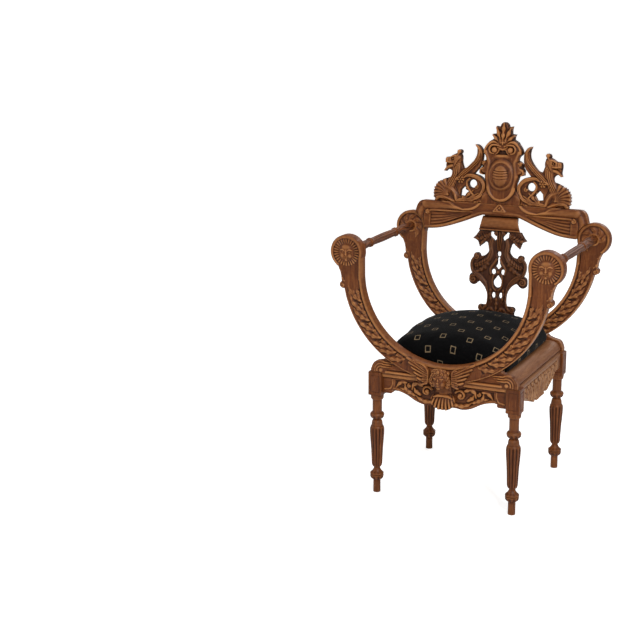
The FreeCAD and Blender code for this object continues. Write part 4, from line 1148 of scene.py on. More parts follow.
@dataclass(frozen=True)
class ArmFrame:
    """Halves of a U-shaped arm frame with foliage on the haunch and a roundel head.

    Args:
        end: Front or rear.
        plane: Plane that the frame lies in.
        face: Height of the front face.
        thickness: Thickness of the frame.
        foliage_start: Where the foliage begins, along the inner edge from the middle.
        foliage_end: Where it ends.
        unit: Length of one spray of foliage.
    """

    end: str
    plane: Plane
    face: float
    thickness: float
    foliage_start: float
    foliage_end: float = 332
    unit: float = 28

    def edges(self, work: Carving) -> None:
        """Raises the bead on the inner edge and the lip on the outer edge.

        Args:
            work: The face that is carved.
        """
        face = self.face
        off = np.hypot(work.points[:, 0], work.points[:, 1] - INNER_RISE) - INNER_RADIUS
        above = work.points[:, 1] > INNER_RISE
        off[above] = work.points[above, 0] - INNER_RADIUS
        work.height[(work.rim < 3.2) & (off > 20)] = face - 1.6
        work.ridge([band(along, 4.2) for along in range(0, 396, 6)], [5.2], face - 4, face)
        work.groove([band(along, 10.6) for along in range(0, 396, 6)], [1.9], 1.5)

    def foliage(self, work: Carving) -> None:
        """Carves broad leaves that grow outward in turn, with a bud between each two.

        Args:
            work: The face that is carved.
        """
        face, unit = self.face, self.unit
        ground = face - 6.5
        count = round((self.foliage_end - self.foliage_start) / unit)
        low = [band(along, 10.5) for along in np.linspace(self.foliage_start, self.foliage_end + 8, 40)]
        high = [band(along, 38) for along in np.linspace(self.foliage_end, self.foliage_start, 40)]
        work.sink(low + high, ground, 3)
        for number in range(count):
            start = self.foliage_start + unit * number + (4 if number % 2 else 0)
            work.leaf([band(start - 3, 15), band(start + 6, 23), band(start + 17, 33),
                band(start + 31, 41), band(start + 42, 43)], [3, 8, 10.5, 10, 7, 1.5], ground, face - 0.6,
                3)
            work.leaf([band(start + 1, 20), band(start + 11, 16.5), band(start + 20, 20),
                band(start + 25, 26)], [3, 6, 6.5, 4, 1], ground, face - 1.2, 2)
            work.volute(band(start + 22, 17.5), 6.8 if number % 2 else 5.2, 120, 1.1, ground, face - 0.5,
                0.3)
            work.groove(bend([band(start + 14, 37), band(start + 26, 46), band(start + 38, 49)]),
                [2, 2.4, 1], 2)
        end = self.foliage_end
        for across in (18, 30, 42):
            work.leaf([band(end - 16, across), band(end + 4, across + 1), band(end + 14, across - 1)],
                [5, 6.5, 0.5], ground, face - 0.8, 2)

    def ear(self, work: Carving) -> None:
        """Rolls the small scroll on the outer edge, under a leaf.

        Args:
            work: The face that is carved.
        """
        face = self.face
        work.height[work.points[:, 0] > 294] = np.minimum(work.height[work.points[:, 0] > 294],
            face - 2.6)
        work.volute((303.5, 250), 10.5, 60, -1.3, face - 4.5, face - 0.1, 0.32)
        work.leaf([(318, 292), (313, 279), (305, 268), (297, 262)], [3, 7, 7, 3], face - 5, face - 0.4, 3)
        work.leaf([(322, 306), (316, 296), (306, 290)], [3, 6, 2], face - 5, face - 0.8, 2)

    def rim(self, work: Carving, radius: float) -> None:
        """Runs the inner bead on round the roundel to its outer foot.

        Args:
            work: The face that is carved.
            radius: Radius of the bead round the roundel.
        """
        ring = [(INNER_RADIUS + 4.2, step) for step in range(270, 336, 6)]
        ring += arc(HEAD, radius, 180, -56, -6)
        work.ridge(ring, [5.2, 5.2, 5.2, 5, 3], self.face - 2.4, self.face + 0.2)

    def mask(self, work: Carving) -> None:
        """Carves the front roundel: a rim, a fan of petals and a small calm mask.

        Args:
            work: The face that is carved.
        """
        face, (x, y) = self.face, HEAD
        floor = face - 6.2
        off = np.hypot(work.points[:, 0] - x, work.points[:, 1] - y)
        work.height[off < 40.5] = floor
        self.rim(work, 44.6)
        work.petals(HEAD, 22, 40.5, 28, floor + 1, face - 1)
        size = 1.42
        work.dome((x, y - 1), 17.5 * size, floor + 2, face + 1.6, 1.12)
        work.dome((x, y + 8 * size), 12 * size, face - 4, face + 2.6, 0.72)
        for side in (-1, 1):
            def at(points: Path) -> list[Pair]:
                """Lays a path on this half of the mask."""
                return [(x + side * size * a, y + size * b) for a, b in points]

            work.ridge(bend(at([(2.4, 2.6), (7, 5.4), (12.4, 4.2)])), [2, 2.6, 1.4], face - 1, face + 3.1)
            work.dome(at([(6.8, 0.6)])[0], 3.6, face - 2, face + 2.0, 0.62)
            work.groove(bend(at([(3.4, 0.2), (6.8, -1.4), (10.4, 0)])), [1.1], 0.9)
            work.dome(at([(7.2, -6.4)])[0], 6.2 * size, face - 3, face + 2.0)
        work.ridge([(x, y + 4 * size), (x, y - 4.4 * size)], [1.8, 3.2], face - 1, face + 4.2)
        work.dome((x, y - 4.6 * size), 3.4, face, face + 4.3, 0.8)
        for drop, width in ((9.0, 3.9), (11.2, 3)):
            work.ridge([(x - width * size, y - drop * size), (x + width * size, y - drop * size)],
                [0.8, 1.8, 0.8], face - 1, face + 2.7)
        work.groove([(x - 4.4 * size, y - 10.1 * size), (x + 4.4 * size, y - 10.1 * size)], [0.9], 1.1)
        work.dome((x, y - 15.2 * size), 5, face - 4, face + 1.8)

    def swirl(self, work: Carving) -> None:
        """Carves the rear roundel: a plain rim and leaves thrown round the arm's end.

        Args:
            work: The face that is carved.
        """
        face, (x, y) = self.face, HEAD
        off = np.hypot(work.points[:, 0] - x, work.points[:, 1] - y)
        work.height[off < 42] = face - 3.4
        self.rim(work, 45)
        for step in range(6):
            turn = math.radians(-10 + 44 * step)
            lead = turn + 0.6
            work.leaf([(x + 15 * math.cos(turn), y + 15 * math.sin(turn)),
                (x + 27 * math.cos(turn + 0.15), y + 27 * math.sin(turn + 0.15)),
                (x + 38 * math.cos(lead), y + 38 * math.sin(lead))], [7, 10, 8, 1.5], face - 3.6,
                face - 0.8, 2)
        work.ridge(arc(HEAD, 16), [3], face - 3, face - 0.6)

    def carve(self, work: Carving) -> None:
        """Works the whole face.

        Args:
            work: The face that is carved.
        """
        work.height[:] = self.face - 3.2
        self.foliage(work)
        self.edges(work)
        self.ear(work)
        if self.end == "front":
            self.mask(work)
        else:
            self.swirl(work)

    def build(self) -> None:
        """Makes both halves."""
        loops = outline_of(f"{self.end}_arm_right", self.plane, self.end == "front", False)
        shape = BoardShape(self.plane, self.face - self.thickness, self.face, joint=0)
        thing = carve_board(f"carved_{self.end}_arm", loops, shape, self.carve)
        settle_pair(thing, f"{self.end}_arm", Grain.UPRIGHT)


# Back: crest rail, pierced carving and splat

@dataclass(frozen=True)
class CrestRail:
    """Crest rail with ribbed panels, a rolled top and a small pendant at the middle.

    Args:
        face: Height of the board's face.
        back: Height of its back.
        roll: How far the rolled top stands proud.
    """

    face: float = 10.5
    back: float = -16.5
    roll: float = 5.0

    def carve(self, work: Carving) -> None:
        """Works the face.

        Args:
            work: The face that is carved.
        """
        face, top = self.face, self.face + self.roll
        lower = [(240, 344), (226, 344.6), (203, 346.2), (174, 352.4), (143, 363), (112, 375), (82, 388),
            (58, 397.5)]
        work.ridge(bend([(-x, y + 5.5) for x, y in lower] + [(-30, 404.5), (0, 405), (30, 404.5)]
            + [(x, y + 5.5) for x, y in reversed(lower)]), [6.4], face - 4, face + 1.2)
        work.sink([(223, 354), (203, 355.6), (174, 361.6), (143, 372.4), (112, 384.6), (92, 394),
            (84, 400), (130, 399), (205, 398.5), (223, 395)], face - 5.5, 2.5)
        for step in range(4):
            share = step / 3
            work.ridge(bend([(218, 360.5 + 31 * share), (180, 368 + 25.5 * share),
                (140, 382 + 14.5 * share), (92, 397.4 + share)]), [6, 5.2, 3.8, 1.2], face - 5.5,
                face - 1.2, 0.8)
        work.ridge(bend([(84, 404.5), (142, 402.6), (193, 402.6), (218, 402), (230, 397)]),
            [1, 2.4, 3.6, 4.2, 4.4], face - 3, face + 2.8)
        roll = bend([(112, 408), (146, 414.5), (180, 418), (210, 419), (238, 419)])
        work.ridge(roll, [1.5, 6.5, 11, 14, 15], face - 1.5, top)
        work.beads([(138, 407.4), (228, 408.6)], 6.2, 2.2, face - 1.4, face + 2)
        work.volute((231, 395), 9.5, 90, -1.3, face - 2, face + 5, 0.32)
        work.ridge(bend([(262, 372), (256, 396), (247, 412), (238, 422)]), [8, 10, 9], face - 3,
            face + 2.4)
        work.groove(bend([(245, 352), (247, 380), (243, 398)]), [2.6], 2.6)
        arc = bend([(63, 434), (70, 424), (82, 416), (96, 411), (116, 409), (134, 410)])
        work.ridge(arc, [5, 5.4, 5, 4, 2], face - 1.5, face + 3.4)
        work.leaf([(184, 434), (166, 428), (150, 420), (136, 411)], [7, 10, 8, 5, 1], face, face + 5, 1,
            0)
        work.ridge([(-18, 410), (0, 433), (18, 410), (-18, 410)], [3.4], face - 1, face + 3)
        for x, y, size in ((7.5, 414.5, 4.6), (0, 420, 5)):
            work.dome((x, y), size, face - 1, face + 3.2)

    def build(self) -> None:
        """Makes the rail."""
        loops = outline_of("crest_rail", BACK, behind=True)
        shape = BoardShape(BACK, self.back, self.face, even=True)
        settle(carve_board("carved_crest_rail", loops, shape, self.carve), "crest_rail", WALNUT,
            Grain.ACROSS)


@dataclass(frozen=True)
class Griffin:
    """A pierced griffin: spiny hump, haunch, wing, beaked head and a tail curled to a ring.

    Args:
        face: Height of the highest carving.
        back: Height of the flat back.
        ground: Height that the carving rises from.
    """

    face: float = 10.5
    back: float = -13.5
    ground: float = 0.5

    def carve(self, work: Carving) -> None:
        """Works the face.

        Args:
            work: The face that is carved.
        """
        low, high = self.ground, self.face
        work.swell(low - 3, low + 2.5, 6)
        work.dome((186, 466), 36, low, high - 5, 1.05)
        for step in range(7):
            turn = math.radians(-24 + 16.5 * step)
            reach = 47 - 0.9 * abs(step - 2)
            work.ridge(bend([(171, 452), (171 + 0.5 * reach * math.cos(turn + 0.16),
                452 + 0.5 * reach * math.sin(turn + 0.16)), (171 + reach * math.cos(turn),
                452 + reach * math.sin(turn))]), [2.4, 4.8, 8], low + 1, high - 0.5)
        work.dome((171, 452), 4.6, low + 3, high + 0.4)
        ring = bend([(126, 506), (108, 514), (86, 512), (67, 503), (56, 487), (58, 468), (70, 452),
            (90, 443), (114, 440), (138, 436)], 9)
        work.ridge(ring, [5, 7, 7, 7, 7, 6.5], low - 1, high - 1)
        work.groove(ring, [1.6], 1.6)
        work.ridge(bend([(102, 504), (110, 494), (108, 480), (98, 466), (88, 456)]), [3.6, 4.6, 4],
            low - 1, high - 1.4)
        work.volute((79, 480), 8.5, 120, 1.1, low - 1, high - 0.8, 0.3)
        for spine in ([(120, 437), (96, 446), (70, 462)], [(118, 440), (102, 456), (88, 470)],
                [(122, 442), (114, 458), (112, 474)], [(122, 436), (98, 438), (72, 446)]):
            work.leaf(spine, [3, 8, 9, 7, 1.5], low - 1, high - 0.8, 2)
        neck = [(172, 470), (160, 492), (148, 516), (146, 540), (148, 556)]
        work.ridge(bend(neck), [17, 16, 15, 14.5, 14], low, high - 1)
        for across in (-6, 0, 6):
            work.groove(bend([(x + across, y) for x, y in neck[:4]]), [1.2, 1.9, 1.6], 2.2)
        work.leaf([(146, 500), (120, 522), (98, 542), (80, 562), (74, 582), (78, 598), (88, 608)],
            [6, 11, 13, 13, 12, 9, 2], low, high, 1, 0)
        for step in (-0.8, -0.28, 0.26, 0.8):
            work.groove(bend([(x + 6.4 * step, y + 6.8 * step) for x,
                y in ((138, 506), (116, 525), (95, 545), (79, 563), (74, 581), (80, 596))]),
                [1.6, 2.1, 1.8, 1], 2.6)
        work.petals((130, 500), 3.5, 11.5, 6, low, high)
        work.dome((130, 500), 4.4, low, high + 0.2)
        work.leaf([(180, 478), (160, 470), (148, 456), (142, 438)], [8, 12, 11, 7], low, high - 0.4, 1, 0)
        work.leaf([(206, 442), (188, 446), (168, 440), (150, 432)], [6, 11, 10, 6], low + 1, high, 1, 0)
        work.groove(bend([(152, 492), (144, 474), (134, 452)]), [1.6, 2, 1.4], 2.4)
        work.leaf([(128, 436), (104, 433), (72, 434)], [5, 7, 6, 2], low - 1, high - 2.5, 5)
        self.head(work)

    def head(self, work: Carving) -> None:
        """Carves the beast's head, in side view.

        Args:
            work: The face that is carved.
        """
        low, high = self.ground, self.face
        work.dome((149, 561), 19, low, high - 1, 0.95)
        work.plate([(160, 549), (182, 548), (184, 560), (181, 567), (164, 568)], low, high - 1.5, 5)
        work.ridge(bend([(150, 572), (160, 570), (168, 564)]), [3.4, 4, 3], low, high + 0.2)
        work.ridge(bend([(156, 552), (168, 551), (180, 552)]), [3.2, 3.6, 3], low, high)
        for x in (171.5, 177.5):
            work.groove([(x, 556), (x + 0.5, 565)], [1.5], 1.8)
        work.groove(bend([(160, 546.5), (170, 546), (184, 548)]), [2.6, 3.2, 3], 6.5)
        for step in range(4):
            work.dome((165 + 4.4 * step, 546.6), 1.5, low, high - 3)
        work.ridge(bend([(160, 541), (170, 538), (178, 532), (184, 526)]), [5.5, 5.5, 4.5, 3], low,
            high - 1.6)
        work.groove([(172, 534), (181, 528)], [1], 1.4)
        work.height[np.hypot(work.points[:, 0] - 158.5, work.points[:, 1] - 562) < 4.6] = low + 3.2
        work.dome((158.5, 562), 2.7, low + 3, high - 1)
        work.dome((140, 585), 6.8, low, high)
        work.leaf([(152, 566), (145, 573), (140, 581)], [5, 6, 4], low, high, 1)
        for step in range(4):
            work.groove(bend([(132 + 2.5 * step, 566 - 7 * step), (139 + 3 * step, 559 - 6 * step),
                (146 + 2.5 * step, 550 - 5 * step)]), [1.4], 1.8)

    def spiny(self, loop: Points) -> Points:
        """Cuts short spines into the outline of the hump.

        Args:
            loop: The outline.

        Returns:
            The outline with its spines.
        """
        loop = spaced(loop, 1.3)
        centre = np.array((184.0, 466.0))
        off = loop - centre
        turn = np.degrees(np.arctan2(off[:, 1], off[:, 0]))
        hump = (turn > -48) & (turn < 86) & (np.hypot(*off.T) > 26)
        tooth = ((turn / 17) % 1) ** 1.5
        grow = np.where(hump, 4.8 * tooth - 3.4, 0)
        return loop + off / np.hypot(*off.T)[:, None] * grow[:, None]

    def build(self) -> None:
        """Makes both griffins."""
        loops = outline_of("griffin_right", BACK)
        loops[0] = self.spiny(loops[0])
        shape = BoardShape(BACK, self.back, self.face, pitch=1.5, soften=1.4)
        thing = carve_board("carved_griffin", loops, shape, self.carve)
        settle_pair(thing, "griffin", Grain.UPRIGHT)


@dataclass(frozen=True)
class Cartouche:
    """A strapwork shield with two volutes and a palmette, and the oval boss on it.

    Args:
        face: Height of the highest carving.
        back: Height of the flat back.
        boss_size: Half the width and height of the boss.
        boss_centre: Middle of the boss.
    """

    face: float = 17.5
    back: float = -13.5
    boss_size: Pair = (33.0, 38.5)
    boss_centre: Pair = (0.0, 519.0)

    def carve(self, work: Carving) -> None:
        """Works the shield's face.

        Args:
            work: The face that is carved.
        """
        face = self.face
        ground = 3.0
        work.swell(ground - 3, ground + 3, 6)
        work.plate([(-66, 426), (66, 426), (66, 450), (48, 466), (-48, 466), (-66, 450)], ground,
            face - 10, 7)
        shield = [(0, 440), (20, 446), (36, 462), (42, 476), (42, 489), (46, 504), (50, 520), (66, 526),
            (67, 536), (60, 543), (55, 560), (46, 566), (49, 578), (56, 588), (50, 604), (40, 616),
            (0, 618)]
        work.plate(shield + [(-x, y) for x, y in reversed(shield[1:-1])], ground, face - 5, 8)
        hollow = [(0, 470), (26, 474), (36, 492), (39, 510), (40, 530), (37, 548), (33, 562), (28, 574),
            (0, 576)]
        work.sink(hollow + [(-x, y) for x, y in reversed(hollow[1:-1])], face - 8, 9)
        x, y = self.boss_centre
        away = np.hypot(work.points[:, 0] / (self.boss_size[0] + 12),
            (work.points[:, 1] - y) / (self.boss_size[1] + 12))
        under = away < 1
        work.height[under] = np.maximum(work.height[under], face - 0.3 - 7
            * np.clip((away[under] - 0.76) / 0.24, 0, 1) ** 1.4)
        work.ridge(bend([(52, 590), (46, 572), (40, 556), (42, 534), (44, 512), (40, 490), (34, 466),
            (18, 449), (0, 444)]), [7, 8, 8, 9, 9, 8, 7, 6, 6], face - 9, face - 2.5, 0.8)
        work.volute((56, 556), 8.5, -90, 1.4, ground, face - 2, 0.32)
        work.ridge(bend([(58, 539), (66, 534), (68, 526), (60, 520)]), [4, 4.5, 4, 3], ground, face - 4)
        work.sink(arc((27, 597), 14), face - 9, 3)
        work.ridge(bend([(6, 606), (20, 610), (34, 609), (41, 598), (37, 587), (27, 584)]),
            [3, 4, 4.4, 4.4, 4, 3], ground, face - 0.6)
        work.dome((25, 595), 10, face - 9, face + 0.6)
        work.ridge(bend([(12, 612), (28, 619), (44, 612), (54, 598), (56, 586)]), [4, 5.5, 6, 5.5, 4],
            ground, face - 3)
        work.leaf([(6, 616), (18, 626), (35, 640)], [4, 8.5, 7, 1.5], ground, face - 1.5, 2)
        work.leaf([(4, 618), (13, 640), (24, 664)], [4, 9, 8, 1.5], ground, face - 1, 2)
        work.groove(bend([(5, 620), (9, 640), (14, 656)]), [1.6, 2.2, 1.6], 3)
        work.groove(bend([(9, 617), (20, 632), (27, 645)]), [1.6, 2, 1.4], 2.6)
        work.leaf([(0, 612), (0, 645), (0, 678)], [4, 7.5, 10, 7, 1], ground, face, 3)
        work.sink([(-22, 580), (22, 580), (15, 586), (11, 594), (0, 599), (-11, 594), (-15, 586)], ground,
            3)
        work.ridge(bend([(-15, 603), (0, 597), (15, 603)]), [3.2, 4.2, 3.2], ground, face - 2)

    def carve_boss(self, work: Carving) -> None:
        """Works the boss: a low dome with a banded egg rising from it.

        Args:
            work: The face that is carved.
        """
        face = self.face
        off = work.points - np.array(self.boss_centre)
        reach = np.hypot(off[:, 0] / self.boss_size[0], off[:, 1] / self.boss_size[1])
        work.height = face - 0.1 + 3.2 * np.sqrt(np.clip(1 - 0.98 * reach ** 2, 0, 1))
        egg = np.hypot(off[:, 0] / 25.5, (off[:, 1] + 1) / 33.5)
        hit = egg < 1
        work.height[hit] = np.maximum(work.height[hit], face - 1.6 + 13.4 * np.sqrt(1 - egg[hit] ** 2))
        x, y = self.boss_centre
        for rise, depth in ((13, 2.2), (6, 2), (-2, 1.6), (-11, 1.5)):
            half = 24 * math.sqrt(max(0, 1 - (rise / 32) ** 2))
            work.groove(bend([(x - half, y + rise + 2), (x, y + rise - 1), (x + half, y + rise + 2)]),
                [1.9], depth)

    def build(self) -> None:
        """Makes the cartouche and its boss."""
        shape = BoardShape(BACK, self.back, self.face, pitch=1.5, soften=1.4, even=True)
        settle(carve_board("carved_cartouche", outline_of("cartouche", BACK), shape, self.carve),
            "cartouche", WALNUT, Grain.UPRIGHT)
        turns = np.linspace(0, 2 * math.pi, 90, endpoint=False)
        oval = np.column_stack([self.boss_size[0] * np.cos(turns),
            self.boss_size[1] * np.sin(turns)]) + np.array(self.boss_centre)
        shape = BoardShape(BACK, self.face - 0.2, self.face + 4, pitch=1.3, soften=1)
        settle(carve_board("carved_boss", [oval], shape, self.carve_boss), "cartouche_boss", WALNUT,
            Grain.UPRIGHT)


@dataclass(frozen=True)
class Splat:
    """The pierced splat with its moulded cap and shoe.

    Args:
        face: Height of the highest carving.
        back: Height of the flat back.
        shoe_face: Height of the shoe's nosing.
        shoe_back: Height of the shoe's back.
    """

    face: float = -3.5
    back: float = -17.5
    shoe_face: float = 4.5
    shoe_back: float = -20.5

    def carve(self, work: Carving) -> None:
        """Works the splat's face.

        Args:
            work: The face that is carved.
        """
        low, high = self.face - 9.5, self.face
        work.swell(low - 1, low + 4, 5)
        stem = bend([(9, 349), (20, 330), (27, 306), (24, 284), (31, 262), (50, 248), (70, 240)])
        work.ridge(stem, [4, 7, 8.5, 9, 10, 11, 9], low, high)
        work.groove(stem, [1.6], 2)
        work.leaf([(28, 338), (46, 331), (62, 322), (84, 322)], [7, 10, 9, 8, 2], low, high, 4)
        work.leaf([(36, 330), (50, 318), (60, 303)], [5, 8, 7, 2], low, high - 0.5, 3)
        work.volute((70, 266), 12, 60, -1.3, low, high, 0.3)
        shell = bend([(74, 272), (86, 252), (87, 232), (76, 216), (56, 206), (40, 188), (33, 166),
            (31, 140), (36, 120)])
        work.ridge(shell, [6, 8, 8.5, 8, 7.5, 7, 6.5, 6, 6], low, high)
        work.groove(shell, [1.5], 1.8)
        for step in range(6):
            foot = (30 + 7.5 * step, 284 - 7 * step)
            work.groove(bend([foot, (foot[0] + 10, foot[1] - 16), (foot[0] + 8, foot[1] - 34)]),
                [1, 2.2, 1.2], 3)
        for step in range(4):
            work.groove(bend([(36 + 9 * step, 326 - 1.5 * step), (44 + 9 * step, 334 - 2 * step),
                (50 + 9 * step, 343 - 3 * step)]), [1, 2, 1], 2.6)
        work.leaf([(28, 262), (44, 236), (62, 222), (78, 218)], [6, 13, 14, 8, 3], low, high - 0.3, 5)
        work.volute((79, 196), 15.5, 110, -1.5, low, high, 0.28)
        work.ridge(bend([(70, 208), (54, 196), (42, 176), (37, 152)]), [5, 6, 5, 4], low, high - 0.6)
        work.ridge(bend([(13, 214), (16, 196), (13, 176), (4, 166)]), [3.5], low, high)
        work.ridge(bend([(6, 262), (13, 250), (24, 232), (22, 216)]), [4, 5, 4], low, high - 0.4)
        work.leaf([(20, 168), (21, 150), (16, 128)], [5, 7, 6, 2], low, high - 0.6, 3)
        work.volute((50, 108), 10.5, 90, -1.4, low, high, 0.3)
        work.ridge(bend([(34, 128), (34, 116), (42, 106)]), [5, 6, 5], low, high - 0.5)
        work.leaf([(4, 98), (20, 110), (34, 98)], [4, 8, 6, 2], low, high - 1, 3)
        for x in (0, 5.5):
            work.ridge([(x * 1.5, 345), (x * 0.8, 300), (x * 0.3, 285)], [2.4, 2.2, 1], low, high - 0.5)
        work.dome((0, 222), 6, low, high)
        work.leaf([(0, 140), (0, 118), (0, 98)], [4, 8, 6, 2], low, high, 3)

    def carve_cap(self, work: Carving) -> None:
        """Works the cap: a bold half-round over a small lip.

        Args:
            work: The face that is carved.
        """
        up = work.points[:, 1]
        share = np.clip((up - 355.5) / 36, 0, 1)
        work.height = self.face + 2 + 7 * np.sqrt(np.clip(1 - (2 * share - 1) ** 2, 0, 1))
        work.ridge([(-70, 352.4), (70, 352.4)], [3.4], self.face, self.face + 7)

    def carve_shoe(self, work: Carving) -> None:
        """Works the shoe: a nosing, a hollow and a plain foot.

        Args:
            work: The face that is carved.
        """
        up = work.points[:, 1]
        work.height = self.shoe_face - 6 * np.exp(-((up - 78) / 8) ** 2) - 2 * (up < 68)
        work.ridge([(-80, 86), (80, 86)], [5], -2, self.shoe_face - 0.1)

    def build(self) -> None:
        """Makes the splat, cap and shoe."""
        shape = BoardShape(BACK, self.back, self.face, pitch=1.5, soften=1.4, even=True)
        # The splat takes the darker copy of the walnut, which paints the shade that falls on it.
        settle(carve_board("carved_splat", outline_of("splat", BACK), shape, self.carve), "splat",
            SHADED_WALNUT, Grain.UPRIGHT)
        shape = BoardShape(BACK, self.face, self.face, pitch=1.8, soften=1)
        settle(carve_board("moulded_splat_cap", outline_of("splat_cap", BACK), shape, self.carve_cap),
            "splat_cap", WALNUT, Grain.ACROSS)
        shape = BoardShape(BACK, self.shoe_back, self.shoe_face, pitch=1.8, soften=1)
        settle(carve_board("moulded_splat_shoe", outline_of("splat_shoe", BACK), shape, self.carve_shoe),
            "splat_shoe", WALNUT, Grain.ACROSS)


# Seat rails

@dataclass(frozen=True)
class FrontRail:
    """The carved front rail with its proud top band, and the shell at its middle.

    Args:
        face: Height of the board's face.
        back: Height of its back.
        band: How far the top band stands proud.
        shell: Heights of the shell's back, ground and untouched face.
    """

    face: float = 220.2
    back: float = 194.4
    band: float = 8.0
    shell: Triple = (218.0, 221.0, 236.0)

    def carve(self, work: Carving) -> None:
        """Works the face.

        Args:
            work: The face that is carved.
        """
        face = self.face
        ground, high = face - 4.2, face + 5.5
        edge = [(157, -50), (150, -48.8), (128.5, -53), (107, -61), (90, -70), (72, -78), (57, -80),
            (40, -79), (28, -79)]
        field = [(20, -18), (150, -18), (151, -42), (128, -47), (107, -55), (90, -64), (72, -72),
            (20, -75)]
        work.sink(field, ground, 4)
        work.ridge(bend([(x, y + 2.8) for x, y in edge]), [4], ground, face + 1)
        work.volute((50, -41), 20, 150, -1.05, ground, high, 0.2)
        work.dome((50, -41), 7.5, ground, high)
        work.leaf([(34, -70), (52, -73), (70, -68), (84, -58)], [5, 8, 8, 6, 2], ground, high - 1.5, 3)
        work.leaf([(64, -26), (80, -21), (92, -28), (96, -42)], [5, 9, 9, 6, 2], ground, high - 1.5, 2)
        work.leaf([(72, -54), (84, -46), (90, -36)], [4, 8, 7, 2], ground, high - 1.5, 2)
        work.leaf([(88, -58), (104, -52), (116, -42), (118, -28)], [4, 9, 8, 6, 1.5], ground, high - 2.5,
            3)
        work.volute((104, -32), 8, 60, -1.1, ground, high - 2, 0.32)
        work.leaf([(114, -24), (128, -24), (138, -32), (146, -42)], [3, 7, 7, 5, 1], ground, high - 3, 2)
        work.leaf([(112, -50), (124, -44), (134, -42)], [3, 5.5, 4, 1], ground, high - 3, 2)
        work.ridge(bend([(157, -20), (157, -34), (163, -46), (180, -50)]), [2.4], face, face + 2.2)
        work.groove([(157.5, -50), (157.5, -16)], [1.6], 1.4)
        work.dome((0, -40), 26, ground, high - 3)
        proud = work.points[:, 1] > -13
        work.height[proud] = face + self.band - 0.4
        work.groove([(-190, -9.6), (190, -9.6)], [1.4], 1.4)
        work.groove([(-190, -13.2), (190, -13.2)], [1.8], 2)

    def carve_shell(self, work: Carving) -> None:
        """Works the shell: ribs that fan down from under the head, below a scrolled band.

        Args:
            work: The face that is carved.
        """
        x, y = work.points.T
        reach = np.hypot(x, y - 12)
        turn = np.arctan2(x, 12 - y)
        rib = np.abs(np.cos(turn * 26)) ** 0.8
        rise = np.clip((reach - 56) / 34, 0, 1)
        ground = self.shell[1]
        work.height = ground + 5 * np.sin(rise * math.pi * 0.55) + rib * (1 + 7 * rise)
        work.ridge(bend([(2, -47), (16, -48), (28, -52)]), [4, 5, 3], ground, ground + 9)

    def build(self) -> None:
        """Makes the rail and the shell."""
        loops = outline_of("front_rail", FRONT, behind=True)
        shape = BoardShape(FRONT, self.back, self.face, pitch=1.5, soften=1.3, even=True)
        settle(carve_board("carved_front_rail", loops, shape, self.carve), "front_rail", WALNUT,
            Grain.ACROSS)
        shape = BoardShape(FRONT, self.shell[0], self.shell[2], pitch=1.3, soften=1.4, even=True)
        settle(carve_board("carved_shell", outline_of("apron_shell", FRONT), shape, self.carve_shell),
            "apron_shell", WALNUT, Grain.UPRIGHT)


@dataclass(frozen=True)
class SideRail:
    """A side rail with hanging leaves either side of a middle lobe.

    Args:
        face: Height of the outer face.
        thickness: Thickness of the rail.
    """

    face: float = 219.2
    thickness: float = 27.9

    def carve(self, work: Carving) -> None:
        """Works the face.

        Args:
            work: The face that is carved.
        """
        face = self.face
        ground, high = face - 10, face - 0.2
        work.sink([(-12, -12), (160, -12), (158, -46), (140, -49), (118, -59), (98, -69), (80, -76),
            (62, -80), (0, -84), (-12, -84)], ground, 3)
        work.ridge([(-186, -7.5), (186, -7.5)], [3.2], face - 3, high)
        for step in range(4):
            start = 22 + 34 * step
            foot = -82 + 9.5 * max(0, step - 0.6)
            work.leaf([(start + 20, -16), (start + 7, -28), (start + 4, foot * 0.6),
                (start + 14, foot + 1)], [6, 13, 14, 11, 3], ground, high - 0.3 * step, 3)
            work.groove(bend([(start + 16, -20), (start + 8, foot * 0.5), (start + 14, foot + 4)]),
                [1.4, 2.2, 1.4], 3)
            work.volute((start + 24, -23), 8.5, 90, -1.2, ground, high, 0.3)
            work.ridge(bend([(start + 27, -32), (start + 21, foot * 0.66), (start + 27, foot + 8)]),
                [4, 6, 2], ground, high - 1)
        work.ridge(bend([(160, -16), (166, -30), (176, -42)]), [2.4], face - 2, high)
        for lean in (0, 0.5, 1):
            work.ridge(bend([(lean * 5, -28), (lean * 12, -56), (lean * 20, -82)]), [3, 5.4, 6], ground,
                high)
        work.volute((11, -24), 10, 120, -1.4, ground, high, 0.28)

    def build(self) -> None:
        """Makes both side rails."""
        for name, side in SIDES:
            shape = BoardShape(SIDE_PLANES[side], self.face - self.thickness, self.face, pitch=1.8,
                soften=1.4, even=True)
            loops = outline_of(f"{name}_rail", SIDE_PLANES[side])
            # The side rails take the paler copy of the walnut, which paints the light on the side faces.
            settle(carve_board(f"carved_{name}_rail", loops, shape, self.carve), f"{name}_rail", LIT_WALNUT,
                Grain.DEEP)


@dataclass(frozen=True)
class RearRail:
    """The plain rear rail, with a scratched line above its shaped edge.

    Args:
        face: Height of the rear face.
        thickness: Thickness of the rail.
    """

    face: float = 212.1
    thickness: float = 26.0

    def carve(self, work: Carving) -> None:
        """Works the rear face.

        Args:
            work: The face that is carved.
        """
        work.groove([(-178, -9), (178, -9)], [1.5], 1.2)
        work.groove(bend([(x, -62 + 0.000775 * x * x) for x in range(-176, 177, 22)]), [1.5], 1.2)

    def build(self) -> None:
        """Makes the rail."""
        plane = Plane((0, 0, RAIL_TOP), (-1, 0, 0), (0, 0, 1), (0, 1, 0))
        shape = BoardShape(plane, self.face - self.thickness, self.face, pitch=3, soften=1.4)
        settle(carve_board("planed_rear_rail", outline_of("rear_rail", plane), shape, self.carve),
            "rear_rail", WALNUT, Grain.ACROSS)


